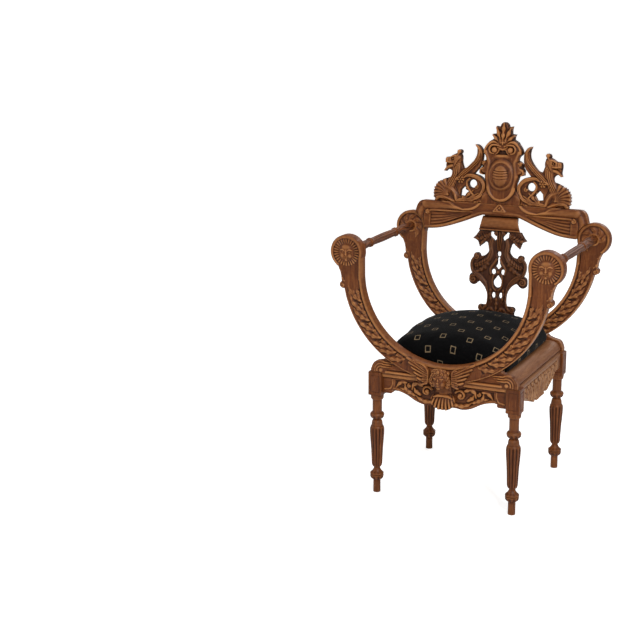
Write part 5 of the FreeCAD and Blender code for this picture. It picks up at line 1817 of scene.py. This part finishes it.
@dataclass(frozen=True)
class Spandrels:
    """Moulded boards between the arm frames and the rails.

    Args:
        face: Height of the front pair's face.
        thickness: Thickness of all four.
        button: Middle of the scroll at the outer end.
    """

    face: float = 236.2
    thickness: float = 25.0
    button: Pair = (188.0, 8.5)

    def carve(self, work: Carving) -> None:
        """Works the front pair: a nosing, a hollow and ribs round the end scroll.

        Args:
            work: The face that is carved.
        """
        face = self.face
        across, up = work.points.T
        fall = np.clip((up - 8) / 30, 0, 1) * np.clip((196 - across) / 30, 0.25, 1)
        work.height = face - 3 - 4.6 * fall
        work.ridge([(40, 4.3), (172, 4.3)], [4.6], face - 6, face)
        work.groove([(40, 10.2), (168, 10.2)], [1.8], 2.2)
        x, y = self.button
        for reach, rise in ((12, 0.2), (19.5, 1.2), (27, 2.2)):
            arc = [(x + reach * 0.95 * math.cos(turn), y + reach * math.sin(turn))
                for turn in np.radians(range(-14, 122, 12))]
            arc += [(x - 20 - reach * 0.9, y + reach * 0.84)]
            work.ridge(bend(arc, 3), [3.2, 3.2, 3, 0.6], face - 6.4, face - rise - 0.4)
        work.dome((x, y), 7.5, face - 5, face)

    def carve_rear(self, work: Carving) -> None:
        """Works the rear pair: a scratched line along the foot."""
        work.groove([(50, 8), (210, 8)], [1.5], 1.2)

    def build(self) -> None:
        """Makes all four."""
        shape = BoardShape(FRONT, self.face - self.thickness, self.face, pitch=1.7, soften=1.5)
        settle_pair(carve_board("moulded_front_spandrel", outline_of("front_spandrel_right", FRONT),
            shape, self.carve), "front_spandrel", Grain.ACROSS)
        shape = BoardShape(BACK, -self.thickness, 0, pitch=3, soften=1.5)
        settle_pair(carve_board("planed_rear_spandrel", outline_of("rear_spandrel_right", BACK), shape,
            self.carve_rear), "rear_spandrel", Grain.ACROSS)


# Turnings and mouldings

def lathe(profile: Path, segments: int, swell: Callable[[np.ndarray, np.ndarray], np.ndarray],
        step: float = 2.6) -> tuple[Points, Faces, np.ndarray]:
    """Turns a profile of radius and height round the upright axis.

    Args:
        profile: Radius and height from one end to the other.
        segments: Points round the turning.
        swell: Gives the share of the radius cut away, from angle and height.
        step: Spacing of the rings.

    Returns:
        Points, faces, and the recess of each point.
    """
    run = np.asarray(profile, float)
    lengths = np.r_[0, np.cumsum(np.hypot(*np.diff(run, axis=0).T))]
    places = np.unique(np.r_[np.arange(0, lengths[-1], step), lengths])
    radius = np.interp(places, lengths, run[:, 0])
    height = np.interp(places, lengths, run[:, 1])
    turn = np.linspace(0, 2 * math.pi, segments, endpoint=False)
    rings, turns = len(places), np.tile(turn, len(places))
    reach, rise = np.repeat(radius, segments), np.repeat(height, segments)
    cut = swell(turns, rise)
    points = np.column_stack([reach * (1 - cut) * np.cos(turns), reach * (1 - cut) * np.sin(turns), rise])
    faces = strip_faces(rings, segments)
    faces.append(tuple(range(segments))[::-1])
    faces.append(tuple((rings - 1) * segments + j for j in range(segments)))
    blurred = np.convolve(np.pad(radius, 4, mode="edge"), np.ones(9) / 9, "valid")
    # Recess for painted shade in the hollows and flutes, lowered a little everywhere for a faint painted
    # highlight.
    recess = np.repeat(blurred - radius, segments) * 0.5 + cut * reach * 0.9 - 0.12
    return points, faces, recess


@dataclass(frozen=True)
class Leg:
    """A turned and fluted leg under its square block.

    Args:
        radius: Largest radius of the turning.
        height: Height of the turning.
        block: Width of the block.
        flutes: Number of flutes.
        spread: Half the distance between leg centres, across and deep.
    """

    radius: float = 21.0
    height: float = 300.0
    block: float = 40.5
    flutes: int = 12
    spread: Pair = (207.0, 209.0)

    def profile(self) -> Points:
        """Gives the turning's radius and height.

        Returns:
            The points, radius and height.
        """
        parts = [[(0.5, 0), (0.515, 0.012), (0.51, 0.06), (0.505, 0.125)],
            [(0.56, 0.128), (0.82, 0.143), (0.93, 0.156), (0.955, 0.17), (0.94, 0.178)],
            [(0.79, 0.181), (0.8, 0.184)], [(0.93, 0.187), (0.955, 0.193), (0.93, 0.2), (0.78, 0.21),
            (0.62, 0.222), (0.48, 0.238), (0.42, 0.253)], [(0.46, 0.257), (0.62, 0.268), (0.71, 0.285),
            (0.75, 0.303), (0.79, 0.38), (0.84, 0.457), (0.94, 0.55), (0.99, 0.605), (1, 0.635),
            (0.985, 0.655), (0.93, 0.671), (0.86, 0.681)], [(0.79, 0.683), (0.78, 0.693), (0.745, 0.715),
            (0.69, 0.732), (0.58, 0.742), (0.5, 0.747)], [(0.56, 0.75), (0.8, 0.762), (0.95, 0.775),
            (0.995, 0.79), (0.97, 0.803), (0.86, 0.815), (0.7, 0.82)],
            [(0.66, 0.825), (0.655, 0.88), (0.665, 0.945)], [(0.69, 0.95), (0.84, 0.957), (0.88, 0.968),
            (0.9, 0.98), (0.93, 1)]]
        runs = [bend(part, 4) for part in parts]
        return np.vstack(runs) * np.array([self.radius, self.height])

    def cut(self, turn: np.ndarray, rise: np.ndarray) -> np.ndarray:
        """Gives the flutes of the vase and the lobes of the ring and cup.

        Args:
            turn: Angle round the axis.
            rise: Height.

        Returns:
            Share of the radius that is cut away.
        """
        share = rise / self.height
        flute = np.clip(np.abs(np.cos(turn * self.flutes / 2)) * 1.15, 0, 1) ** 0.8
        long = np.clip((share - 0.262) / 0.02, 0, 1) * np.clip((0.672 - share) / 0.02, 0, 1)
        cut = 0.15 * long * (1 - flute)
        lobe = np.abs(np.cos(turn * 5))
        for middle, half, depth in ((0.771, 0.022, 0.13), (0.15, 0.026, 0.14), (0.21, 0.012, 0.08)):
            near = np.clip(1 - np.abs(share - middle) / half, 0, 1) ** 0.5
            cut = cut + depth * near * (1 - lobe)
        return cut

    def block_points(self) -> tuple[Points, Faces, np.ndarray]:
        """Makes the block: rounded arrises, a sunk frame and a small flower on each face.

        Returns:
            Points, faces and the recess of each point.
        """
        half, tall = self.block / 2, RAIL_TOP - self.height
        points, faces, recesses = [], [], []
        across = np.linspace(-half, half, 31)
        up = np.linspace(0, tall, 53)
        grid_x, grid_y = np.meshgrid(across, up)
        flat = np.column_stack([grid_x.ravel(), grid_y.ravel()])
        rim = np.minimum.reduce([flat[:, 0] + half, half - flat[:, 0], flat[:, 1], tall - flat[:, 1]])
        work = Carving(flat, rim, half)
        frame_line = [(-13, 11), (13, 11), (13, tall - 11), (-13, tall - 11), (-13, 11)]
        work.groove(frame_line, [1.5], 1.3)
        work.petals((0, tall / 2), 1.5, 7, 4, half - 1, half - 0.05, 0.4)
        work.groove([(0, tall / 2 + 16), (0, tall / 2 + 9)], [1.2], 0.8)
        work.groove([(0, tall / 2 - 16), (0, tall / 2 - 9)], [1.2], 0.8)
        bare = half - work.height
        drop = work.soften(1.5)
        inset = 1 - drop / half
        for quarter in range(4):
            turn = quarter * math.pi / 2
            out = np.array([math.cos(turn), math.sin(turn)])
            along = np.array([-out[1], out[0]])
            level = work.height[:, None] * out + (flat[:, :1] * inset[:, None]) * along
            start = sum(len(part) for part in points)
            rise = self.height + np.clip(flat[:, 1], drop * 0.5, tall - drop * 0.5)
            points.append(np.column_stack([level, rise]))
            # Painted shade in the cut lines and a painted highlight on the rounded arrises.
            recesses.append(bare * 0.9 - drop * 0.5)
            count = len(across)
            faces += [(start + j * count + i, start + j * count + i + 1, start + (j + 1) * count + i + 1,
                start + (j + 1) * count + i) for j in range(len(up) - 1) for i in range(count - 1)]
        for level, flip in ((self.height + 0.7, 1), (RAIL_TOP - 0.05, 0)):
            start = sum(len(part) for part in points)
            edge = half - 0.8
            square = [(-edge, -edge), (edge, -edge), (edge, edge), (-edge, edge)]
            points.append(np.array([(x, y, level) for x, y in square]))
            recesses.append(np.zeros(4))
            cap = (start, start + 1, start + 2, start + 3)
            faces.append(cap[::-1] if flip else cap)
        return np.vstack(points), faces, np.concatenate(recesses)

    def build(self) -> None:
        """Makes the four legs."""
        turned = lathe(self.profile(), 96, self.cut, 2.4)
        block = self.block_points()
        points = np.vstack([turned[0], block[0]])
        faces = turned[1] + [tuple(v + len(turned[0]) for v in face) for face in block[1]]
        recess = np.concatenate([turned[2], block[2]])
        for end, deep in (("front", -1), ("rear", 1)):
            for name, side in SIDES:
                shift = np.array([side * self.spread[0], deep * self.spread[1] + SEAT_Y, 0])
                node = f"leg_{end}_{name}"
                settle(make_object(f"turned_{node}", points + shift, faces, recess), node, WALNUT,
                    Grain.UPRIGHT)


@dataclass(frozen=True)
class ArmRail:
    """A turned arm rail, reeded between two collars, with leafy ends.

    Args:
        radius: Largest radius.
        start: Deep place of its front shoulder.
        length: Length along its axis.
        reeds: Number of reeds.
    """

    radius: float = 14.5
    start: float = -217.2
    length: float = 451.0
    reeds: int = 10

    def profile(self) -> Points:
        """Gives the turning's radius and its place along the axis.

        Returns:
            The points, radius and place along the axis.
        """
        parts = [[(0.6, -0.01), (0.76, 0.02), (0.93, 0.07), (0.97, 0.14), (0.84, 0.235), (0.74, 0.28)],
            [(0.86, 0.284), (0.97, 0.292), (1, 0.3), (0.97, 0.308), (0.86, 0.316)],
            [(0.76, 0.32), (0.82, 0.4), (0.87, 0.51), (0.84, 0.6), (0.76, 0.698)],
            [(0.86, 0.702), (0.97, 0.71), (1, 0.718), (0.97, 0.726), (0.86, 0.734)],
            [(0.74, 0.738), (0.82, 0.78), (0.97, 0.86), (0.93, 0.94), (0.76, 1), (0.6, 1.03)]]
        return np.vstack([bend(part, 5) for part in parts]) * np.array([self.radius, self.length])

    def cut(self, turn: np.ndarray, rise: np.ndarray) -> np.ndarray:
        """Gives the reeds, the beads of the collars and the leaves of the ends.

        Args:
            turn: Angle round the axis.
            rise: Place along the axis.

        Returns:
            Share of the radius that is cut away.
        """
        share = rise / self.length
        reed = 1 - np.abs(np.cos(turn * self.reeds / 2)) ** 0.7
        middle = np.clip((share - 0.325) / 0.012, 0, 1) * np.clip((0.693 - share) / 0.012, 0, 1)
        cut = 0.17 * middle * reed
        for place in (0.3, 0.718):
            near = np.clip(1 - np.abs(share - place) / 0.017, 0, 1) ** 0.5
            cut = cut + 0.12 * near * (1 - np.abs(np.cos(turn * 7)))
        for start, end in ((0.0, 0.278), (1.02, 0.742)):
            along = np.clip((share - start) / (end - start), 0, 1)
            on = ((share < 0.28) if start < 0.5 else (share > 0.74)).astype(float)
            wave = np.abs(np.cos(turn * 2.5 + 1.2 * np.sin(along * 9.4)))
            veins = 0.5 + 0.5 * np.cos(turn * 10 + 16 * along)
            cut = cut + on * (0.14 * (1 - wave ** 0.6) + 0.05 * veins)
        return cut

    def build(self) -> None:
        """Makes both arm rails."""
        points, faces, recess = lathe(self.profile(), 90, self.cut, 2.4)
        for name, side in SIDES:
            laid = np.column_stack([points[:, 0] + side * HEAD[0], points[:, 2] + self.start,
                -points[:, 1] + RAIL_TOP + HEAD[1]])
            thing = make_object(f"turned_arm_rail_{name}", laid, faces, recess)
            settle(thing, f"arm_rail_{name}", WALNUT, Grain.DEEP)


@dataclass(frozen=True)
class SideRoll:
    """The rolled moulding on a side rail, with wear and a painted highlight along its crest and painted
    shade in its neck.

    Args:
        length: Length of the moulding.
        shift: Deep place of its middle.
    """

    length: float = 412.0
    shift: float = SEAT_Y

    def section(self) -> Points:
        """Gives the section: flat inside, rounded over, with a neck on the rail."""
        roll = [(165, 0), (165, 30), (166.5, 32.2), (170, 33), (182, 33), (192, 31.7), (201, 27.2),
            (208, 20.5), (212.4, 13), (214, 7.8), (213.2, 5.8), (210.6, 5.2), (210.2, 3.4), (213.6, 2.6),
            (214, 0)]
        return np.vstack([bend(roll[2:11], 3), roll[11:], roll[:2]])

    def build(self) -> None:
        """Makes both mouldings."""
        ring = self.section()
        places = np.linspace(-0.5, 0.5, 90) * self.length
        count = len(ring)
        for name, side in SIDES:
            points, recess = [], []
            for place in places:
                ends = min(1.0, (0.5 * self.length - abs(place)) / 2.5)
                wobble = 0.35 * math.sin(place / 31 + side) + 0.25 * math.sin(place / 13)
                middle = ring.mean(axis=0)
                shrink = 1 - 0.035 * (1 - ends)
                laid = middle + (ring - middle) * shrink
                top = np.clip((ring[:, 1] - 20) / 12, 0, 1)
                laid[:, 1] += (wobble - 0.6) * top
                points.append(np.column_stack([side * laid[:, 0], np.full(count, place + self.shift),
                    laid[:, 1] + RAIL_TOP]))
                # Painted shade in the neck, and wear with a painted highlight along the crest.
                low = np.where((ring[:, 1] > 2.9) & (ring[:, 1] < 5.6) & (ring[:, 0] > 200), 1.6, 0)
                recess.append(low - 0.35 * top)
            faces = strip_faces(len(places), count)
            faces += [tuple(range(count)), tuple((len(places) - 1) * count + j
                for j in range(count))[::-1]]
            if side > 0:
                faces = [face[::-1] for face in faces]
            thing = make_object(f"rolled_side_{name}", np.vstack(points), faces, np.concatenate(recess))
            # The rolls take the paler copy of the walnut, which paints the light on the side faces.
            settle(thing, f"side_roll_{name}", LIT_WALNUT, Grain.DEEP)


# Winged head

def hollows(thing: Thing, rounds: int = 6, strength: float = 1) -> None:
    """Notes on a closed mesh how far each corner lies below its surroundings.

    Args:
        thing: The object.
        rounds: How wide the surroundings are, in rounds of averaging.
        strength: What the depth is multiplied by.
    """
    mesh = thing.data
    spots, pairs = corners(mesh) / MM, edge_pairs(mesh)
    blurred = np.column_stack([smoothed(spots[:, axis], pairs, rounds) for axis in range(3)])
    recess = strength * ((blurred - spots) * normals_of(mesh)).sum(axis=1)
    layer = mesh.attributes.new("recess", "FLOAT", "POINT")
    layer.data.foreach_set("value", recess.astype(np.float32))


class Lumps:
    """Overlapping oval forms that are fused into one skin, sizes in millimetres."""

    def __init__(self, centre: Triple) -> None:
        """Makes the ball that the forms are shaped from.

        Args:
            centre: Point that the forms are placed from.
        """
        form = bmesh.new()
        bmesh.ops.create_icosphere(form, subdivisions=3, radius=1)
        form.verts.index_update()
        self.ball = np.array([tuple(vert.co) for vert in form.verts])
        self.sides = np.array([[vert.index for vert in face.verts] for face in form.faces])
        form.free()
        self.centre = np.array(centre)
        self.forms: list[Points] = []

    def add(self, place: Triple, size: Triple, tilt: float = 0) -> None:
        """Adds an oval form, tilted in the upright plane by some degrees.

        Args:
            place: Its middle from the centre.
            size: Its half sizes.
            tilt: Tilt in degrees.
        """
        x, y, z = (self.ball * np.array(size)).T
        turn = math.radians(tilt)
        form = np.column_stack([x * math.cos(turn) + z * math.sin(turn), y,
            z * math.cos(turn) - x * math.sin(turn)])
        self.forms.append(form + np.array(place) + self.centre)

    def fused(self, name: str, back: float, voxel: float = 0.75, rounds: int = 2) -> Thing:
        """Makes one smooth skin of the forms, cut flat at a depth.

        Args:
            name: Name of the object.
            back: Depth of the flat back.
            voxel: Size of the skin's mesh.
            rounds: Rounds of smoothing.

        Returns:
            The fused object.
        """
        points = np.vstack(self.forms)
        points[:, 1] = np.minimum(points[:, 1], back)
        faces = np.vstack([self.sides + number * len(self.ball) for number in range(len(self.forms))])
        mesh = bpy.data.meshes.new(name)
        mesh.from_pydata([tuple(p) for p in points], [], [tuple(f) for f in faces.tolist()])
        thing = put(name, mesh)
        modifier = thing.modifiers.new("skin", "REMESH")
        modifier.mode = "VOXEL"
        modifier.voxel_size = voxel
        modifier = thing.modifiers.new("smooth", "SMOOTH")
        modifier.iterations = rounds
        settled_mesh(thing)
        thing.data.transform(Matrix.Scale(MM, 4))
        thing.data.shade_smooth()
        return thing


@dataclass(frozen=True)
class WingedHead:
    """A child's head with curls between two wings.

    Args:
        centre: Middle of the head.
        wing_face: Height of the wings' highest feathers.
        wing_back: Height of their backs.
        head_back: Deep place of the head's flat back.
    """

    centre: Triple = (0.0, -247.0, 379.0)
    wing_face: float = 258.2
    wing_back: float = 247.2
    head_back: float = -222.0

    def head(self) -> Thing:
        """Models the head from the proportions of a young child's, with a calm look.

        Returns:
            The head.
        """
        parts = Lumps(self.centre)
        for place, size in (((0, 2, 4), (22, 23, 26)), ((0, -6, -6), (18, 17.5, 20.5)),
                ((0, -11.5, 9), (15, 9.5, 10)), ((0, -14.5, -21.5), (6.6, 5.6, 4.8)),
                ((0, -20.4, -0.5), (2.7, 4.4, 7.6)), ((0, -24, -6), (3.4, 3.3, 2.9)),
                ((0, -21.2, -12.2), (5.2, 2.6, 1.5)), ((0, -20.9, -15.2), (4.3, 2.8, 1.8))):
            parts.add(place, size)
        for side in (-1, 1):
            parts.add((side * 8.6, -13.2, -8.8), (8.6, 8.4, 8.8))
            parts.add((side * 8, -18.4, 5.6), (7.2, 3.8, 2.5), side * -8)
            parts.add((side * 7.8, -17.4, 0.2), (4.4, 3.6, 2.9))
            parts.add((side * 7.8, -19.4, 1.9), (5, 2.5, 1.1), side * -4)
            parts.add((side * 7.8, -18.8, -2.3), (4.2, 2.1, 0.9), side * 6)
            parts.add((side * 2.8, -22.2, -7.1), (2, 2.3, 1.8))
        pairs = [(9, -15.5, 20, 6.2), (16.5, -12, 15, 6.6), (4.7, -13, 27, 6.2), (13, -9, 24.5, 6.6),
            (22, -8, 8, 6.6), (25, -5, -1, 6.2), (24, -4, -10, 6), (22, -2, -19, 5.4), (21, -3, 19, 6.4)]
        curls = [(0, -17, 21, 6.5), *((side * x, y, z, size) for x, y, z, size in pairs
            for side in (-1, 1)), (0, -20, 26, 4.4)]
        for number, (x, y, z, size) in enumerate(curls):
            hand = 1 if x >= 0 else -1
            parts.add((x, y + 1.5, z), (size, size * 0.8, size))
            for step in range(14):
                turn = math.radians(35 * step + 50 * number)
                reach = size * (0.95 - 0.055 * step)
                parts.add((x + hand * reach * math.cos(turn), y - 2.2 - 0.16 * step,
                    z + reach * math.sin(turn)), (1.55, 1.7, 1.55))
        return parts.fused("carved_cherub_head", self.head_back)

    def carve_wing(self, work: Carving) -> None:
        """Works a wing: a rounded shoulder and three tiers of feathers.

        Args:
            work: The face that is carved.
        """
        high, low = self.wing_face, self.wing_back + 2.5
        work.height[:] = low

        def end_of(share: float) -> Pair:
            """Gives the place of a long feather's tip."""
            return 55 + 45 * share ** 0.8, -13 + 74 * share ** 0.85

        for number in range(6):
            share = number / 5
            root = (36 + 2 * share, -2 + 30 * share)
            tip = end_of(share)
            work.leaf([root, ((root[0] + tip[0]) / 2 + 5 * (1 - share),
                (root[1] + tip[1]) / 2 - 4 + 6 * share), tip], [4, 6.4, 7, 3.4], low, high - 1.4 + share,
                1, 1.2)
        for number in range(5):
            share = number / 4
            root = (34 + 2 * share, 2 + 28 * share)
            tip = (52 + 25 * share, -2 + 53 * share ** 0.9)
            work.leaf([root, ((root[0] + tip[0]) / 2 + 3, (root[1] + tip[1]) / 2), tip], [4, 5.6, 6, 3],
                low + 1, high - 0.6, 1, 1)
        for number in range(4):
            share = number / 3
            work.leaf([(32, 5 + 24 * share), (40, 6 + 30 * share), (50, 5 + 35 * share)], [4, 5.4, 3],
                low + 2, high, 1, 0.8)
        for number in range(6):
            share = (number + 0.5) / 5.5
            tip = end_of(share)
            work.groove(bend([(38, 1 + 29 * share), ((38 + tip[0]) / 2 + 4 * (1 - share),
                (1 + 29 * share + tip[1]) / 2 - 2 + 4 * share), tip]), [0.9, 1.3, 1.3], 1.9)
        work.ridge(bend([(33, 8), (34, 26), (44, 42), (60, 50), (80, 56)]), [4, 4.6, 4, 3, 1.5], low,
            high)

    def build(self) -> None:
        """Makes the head and the wings."""
        head = self.head()
        # The recess becomes painted shade between the curls and a painted highlight on the face.
        hollows(head, 24, 1.6)
        settle(head, "cherub_head", WALNUT, Grain.UPRIGHT)
        shape = BoardShape(FRONT, self.wing_back - 1.5, self.wing_face, pitch=1.2, soften=1.2)
        settle_pair(carve_board("carved_wing", outline_of("cherub_wing_right", FRONT), shape,
            self.carve_wing), "cherub_wing", Grain.UPRIGHT)


# Seat

@dataclass(frozen=True)
class SeatPad:
    """The padded seat under its woven cover.

    Args:
        voxel: Size of the skin's mesh in metres.
        pressure: Pressure of the stuffing.
        cap: How far the stuffing may push a point, in metres.
        start: Size that the pad starts from, as a share.
        foot: Half the width of the part that sits between the rolls, in metres.
        foot_top: Height where that part ends, in metres.
        frames: Steps that the stuffing takes to settle.
    """

    voxel: float = 0.006
    pressure: float = 4.0
    cap: float = 0.007
    start: float = 0.988
    foot: float = 0.164
    foot_top: float = 0.4035
    frames: int = 20

    def build(self) -> None:
        """Makes the pad."""
        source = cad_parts["seat_cushion"]
        low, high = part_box("seat_cushion")
        middle = (low + high) / 2
        pad = put("padded_seat", source.data.copy())
        pad.data.transform(Matrix.Translation(middle) @ Matrix.Scale(self.start, 4)
            @ Matrix.Translation(-middle))
        skin = pad.modifiers.new("skin", "REMESH")
        skin.mode = "VOXEL"
        skin.voxel_size = self.voxel
        ease = pad.modifiers.new("ease", "SMOOTH")
        ease.iterations = 8
        settled_mesh(pad)
        rest = corners(pad.data)
        cloth = pad.modifiers.new("stuffing", "CLOTH")
        cloth.settings.use_pressure = True
        cloth.settings.uniform_pressure_force = self.pressure
        cloth.settings.quality = 5
        cloth.settings.effector_weights.gravity = 0
        cloth.point_cache.frame_end = self.frames
        for step in range(1, self.frames + 1):
            bpy.context.scene.frame_set(step)
        settled_mesh(pad)
        bpy.context.scene.frame_set(1)
        move = corners(pad.data) - rest
        length = np.linalg.norm(move, axis=1, keepdims=True)
        move *= np.minimum(1, self.cap / np.maximum(length, 1e-9))
        final = rest + move
        crown = np.clip((final[:, 2] - final[:, 2].max() + 0.03) / 0.03, 0, 1)
        final[:, 2] -= 0.006 * crown ** 2
        low_down = final[:, 2] < self.foot_top
        final[low_down, 0] = np.clip(final[low_down, 0], -self.foot, self.foot)
        for axis, (least, most) in enumerate(zip(low, high)):
            final[:, axis] = np.clip(final[:, axis], least + 0.0005, most)
        pad.data.vertices.foreach_set("co", final.ravel())
        finer = pad.modifiers.new("finer", "SUBSURF")
        finer.levels = 1
        settled_mesh(pad)
        pad.data.shade_smooth()
        self.lay_weave(pad)
        hollows(pad, 30)
        settle(pad, "seat_cushion", COVER)

    def lay_weave(self, pad: Thing) -> None:
        """Notes where each corner lies on the flat cloth, measured over the crown.

        Args:
            pad: The pad.
        """
        spots = corners(pad.data)
        size, half = 0.005, 0.23
        count = int(2 * half / size) + 1
        crown = np.full((count, count), -np.inf)
        cells = np.clip(((spots[:, :2] + half) / size).round().astype(int), 0, count - 1)
        np.maximum.at(crown, (cells[:, 0], cells[:, 1]), spots[:, 2])
        crown[~np.isfinite(crown)] = crown[np.isfinite(crown)].min()
        for _ in range(3):
            crown = (crown + np.roll(crown, 1, 0) + np.roll(crown, -1, 0) + np.roll(crown, 1, 1)
                + np.roll(crown, -1, 1)) / 5
        middle = count // 2
        laid = np.zeros((len(spots), 3))
        for axis in (0, 1):
            slope = np.diff(crown, axis=axis) / size
            steps = np.sqrt(1 + np.clip(slope, -2.5, 2.5) ** 2) * size
            pad_shape = [(1, 0), (0, 0)] if axis == 0 else [(0, 0), (1, 0)]
            along = np.cumsum(np.pad(steps, pad_shape), axis=axis)
            along -= np.take(along, [middle], axis=axis)
            laid[:, axis] = along[cells[:, 0], cells[:, 1]]
            part = (spots[:, axis] + half) / size - cells[:, axis]
            laid[:, axis] += part * size
        below = np.maximum(crown[cells[:, 0], cells[:, 1]] - spots[:, 2] - 0.004, 0)
        laid[:, :2] += normals_of(pad.data)[:, :2] * below[:, None]
        for axis in (0, 1):
            laid[:, axis] = smoothed(laid[:, axis], edge_pairs(pad.data), 16)
        layer = pad.data.attributes.new("weave", "FLOAT_VECTOR", "POINT")
        layer.data.foreach_set("vector", laid.astype(np.float32).ravel())


class HiddenParts:
    """Gives the parts that keep their CAD shape a finish: glue blocks, slats, dowels, webbing."""

    def build(self) -> None:
        """Assigns the finishes and breaks the sharp edges."""
        for name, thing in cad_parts.items():
            if name.startswith("seat_webbing"):
                self.dress(thing, material_of(JUTE, None), 0.0004)
            elif name.startswith(("corner_block", "seat_slat", "frame_dowels", "crest_dowels")):
                grain = Grain.ACROSS if name.endswith(("front", "rear", "dowels")) else Grain.DEEP
                self.dress(thing, material_of(PALE, grain), 0.0008)

    def dress(self, thing: Thing, material: bpy.types.Material, edge: float) -> None:
        """Gives one part its finish.

        Args:
            thing: The part.
            material: Its material.
            edge: Width of the broken edges in metres.
        """
        thing.data.materials.clear()
        thing.data.materials.append(material)
        bevel = thing.modifiers.new("edge", "BEVEL")
        bevel.width = edge
        bevel.segments = 2
        bevel.limit_method = "ANGLE"


# Studio

@dataclass(frozen=True)
class Studio:
    """A white sweep, soft lamps and the camera.

    Args:
        eye: Camera's place.
        forward: Direction that it looks along.
        across: Its right-hand direction before the small roll.
        lens: Lens on a 36 mm wide sensor.
        roll: Roll of the camera in radians.
        sky: Strength of the even light from all round.
        floor_glow: How far the sweep is lifted towards white for the camera.
    """

    eye: Triple = (1.2610, -3.5634, 1.4390)
    forward: Triple = (-0.4289, 0.8699, -0.2435)
    across: Triple = (0.8969, 0.4422, 0.0)
    lens: float = 74.15
    roll: float = -0.0064
    sky: float = 0.21
    floor_glow: float = 0.68

    def camera(self) -> None:
        """Stands the camera."""
        data = bpy.data.cameras.new("camera")
        data.lens, data.sensor_width, data.sensor_fit = self.lens, 36, "HORIZONTAL"
        data.clip_end = 60
        forward = Vector(self.forward).normalized()
        across = Vector(self.across).normalized()
        up = across.cross(forward)
        turn = Matrix((across, up, -forward)).transposed()
        camera = put("camera", data)
        camera.matrix_world = (Matrix.Translation(self.eye) @ turn.to_4x4()
            @ Matrix.Rotation(self.roll, 4, "Z"))
        bpy.context.scene.camera = camera

    def floor(self) -> None:
        """Lays the sweep: a floor that curves up into a backdrop all round."""
        turn = np.linspace(0, 2 * math.pi, 64, endpoint=False)
        profile = [(0, 0), (3, 0), (5, 0.02), (6, 0.25), (6.8, 1.0), (7.1, 2.4), (7.2, 7)]
        points = np.vstack([np.column_stack([reach * np.cos(turn), reach * np.sin(turn),
            np.full(len(turn), rise)]) for reach, rise in profile])
        faces = strip_faces(len(profile), len(turn))
        thing = make_object("sweep", points / MM, faces, angle=80)
        nodes = Nodes("sweep_white")
        nodes.skin(Base_Color=(0.86, 0.86, 0.86, 1), Roughness=0.95, Specular_IOR_Level=0.0)
        seen = nodes.add("LightPath").outputs["Is Camera Ray"]
        glow = nodes.add("Emission", Color=(1, 1, 1, 1), Strength=nodes.math("MULTIPLY", seen,
            self.floor_glow))
        both = nodes.add("AddShader")
        nodes.feed(both, 0, nodes.shader.outputs[0])
        nodes.feed(both, 1, glow.outputs[0])
        nodes.feed(nodes.tree.nodes["Material Output"], "Surface", both.outputs[0])
        thing.data.materials.append(nodes.material)

    def lamp(self, name: str, place: Triple, size: float, watts: float) -> None:
        """Hangs a soft lamp that faces the chair.

        Args:
            name: Name of the lamp.
            place: Where it hangs.
            size: Width of its face.
            watts: Its power.
        """
        data = bpy.data.lights.new(name, "AREA")
        data.size, data.energy = size, watts
        lamp = put(name, data)
        lamp.location = place
        aim = Vector((0, 0, 0.55)) - Vector(place)
        lamp.rotation_euler = aim.to_track_quat("-Z", "Y").to_euler()

    def build(self) -> None:
        """Sets the scene's light, floor and camera."""
        self.camera()
        self.floor()
        world = bpy.data.worlds.new("studio")
        world.use_nodes = True
        light = world.node_tree.nodes["Background"].inputs
        light["Color"].default_value = (1, 1, 1, 1)
        light["Strength"].default_value = self.sky
        bpy.context.scene.world = world
        self.lamp("key", (2.6, -3.4, 3.2), size=1.0, watts=122)
        self.lamp("fill", (-3.4, -2.6, 2.2), size=2.4, watts=21)
        self.lamp("top", (0, 0.4, 3.8), size=2.6, watts=42)
        self.lamp("rear", (0.6, 3.6, 2.6), size=2.0, watts=26)
        bpy.context.scene.view_settings.view_transform = "Standard"


def main() -> None:
    """Sets the studio, then builds the chair piece by piece."""
    logging.basicConfig(level=logging.INFO, format="%(name)s %(message)s")
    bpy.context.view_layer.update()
    Studio().build()
    front = ArmFrame("front", FRONT, face=247.2, thickness=30.0, foliage_start=108)
    rear = ArmFrame("rear", BACK, face=0.0, thickness=28.0, foliage_start=64)
    for part in (front, rear, CrestRail(), Griffin(), Cartouche(), Splat(), FrontRail(), SideRail(),
            RearRail(), Spandrels(), WingedHead(), Leg(), ArmRail(), SideRoll(), SeatPad(),
            HiddenParts()):
        part.build()
        log.info("%s done", type(part).__name__)


if __name__ == "__main__":
    main()
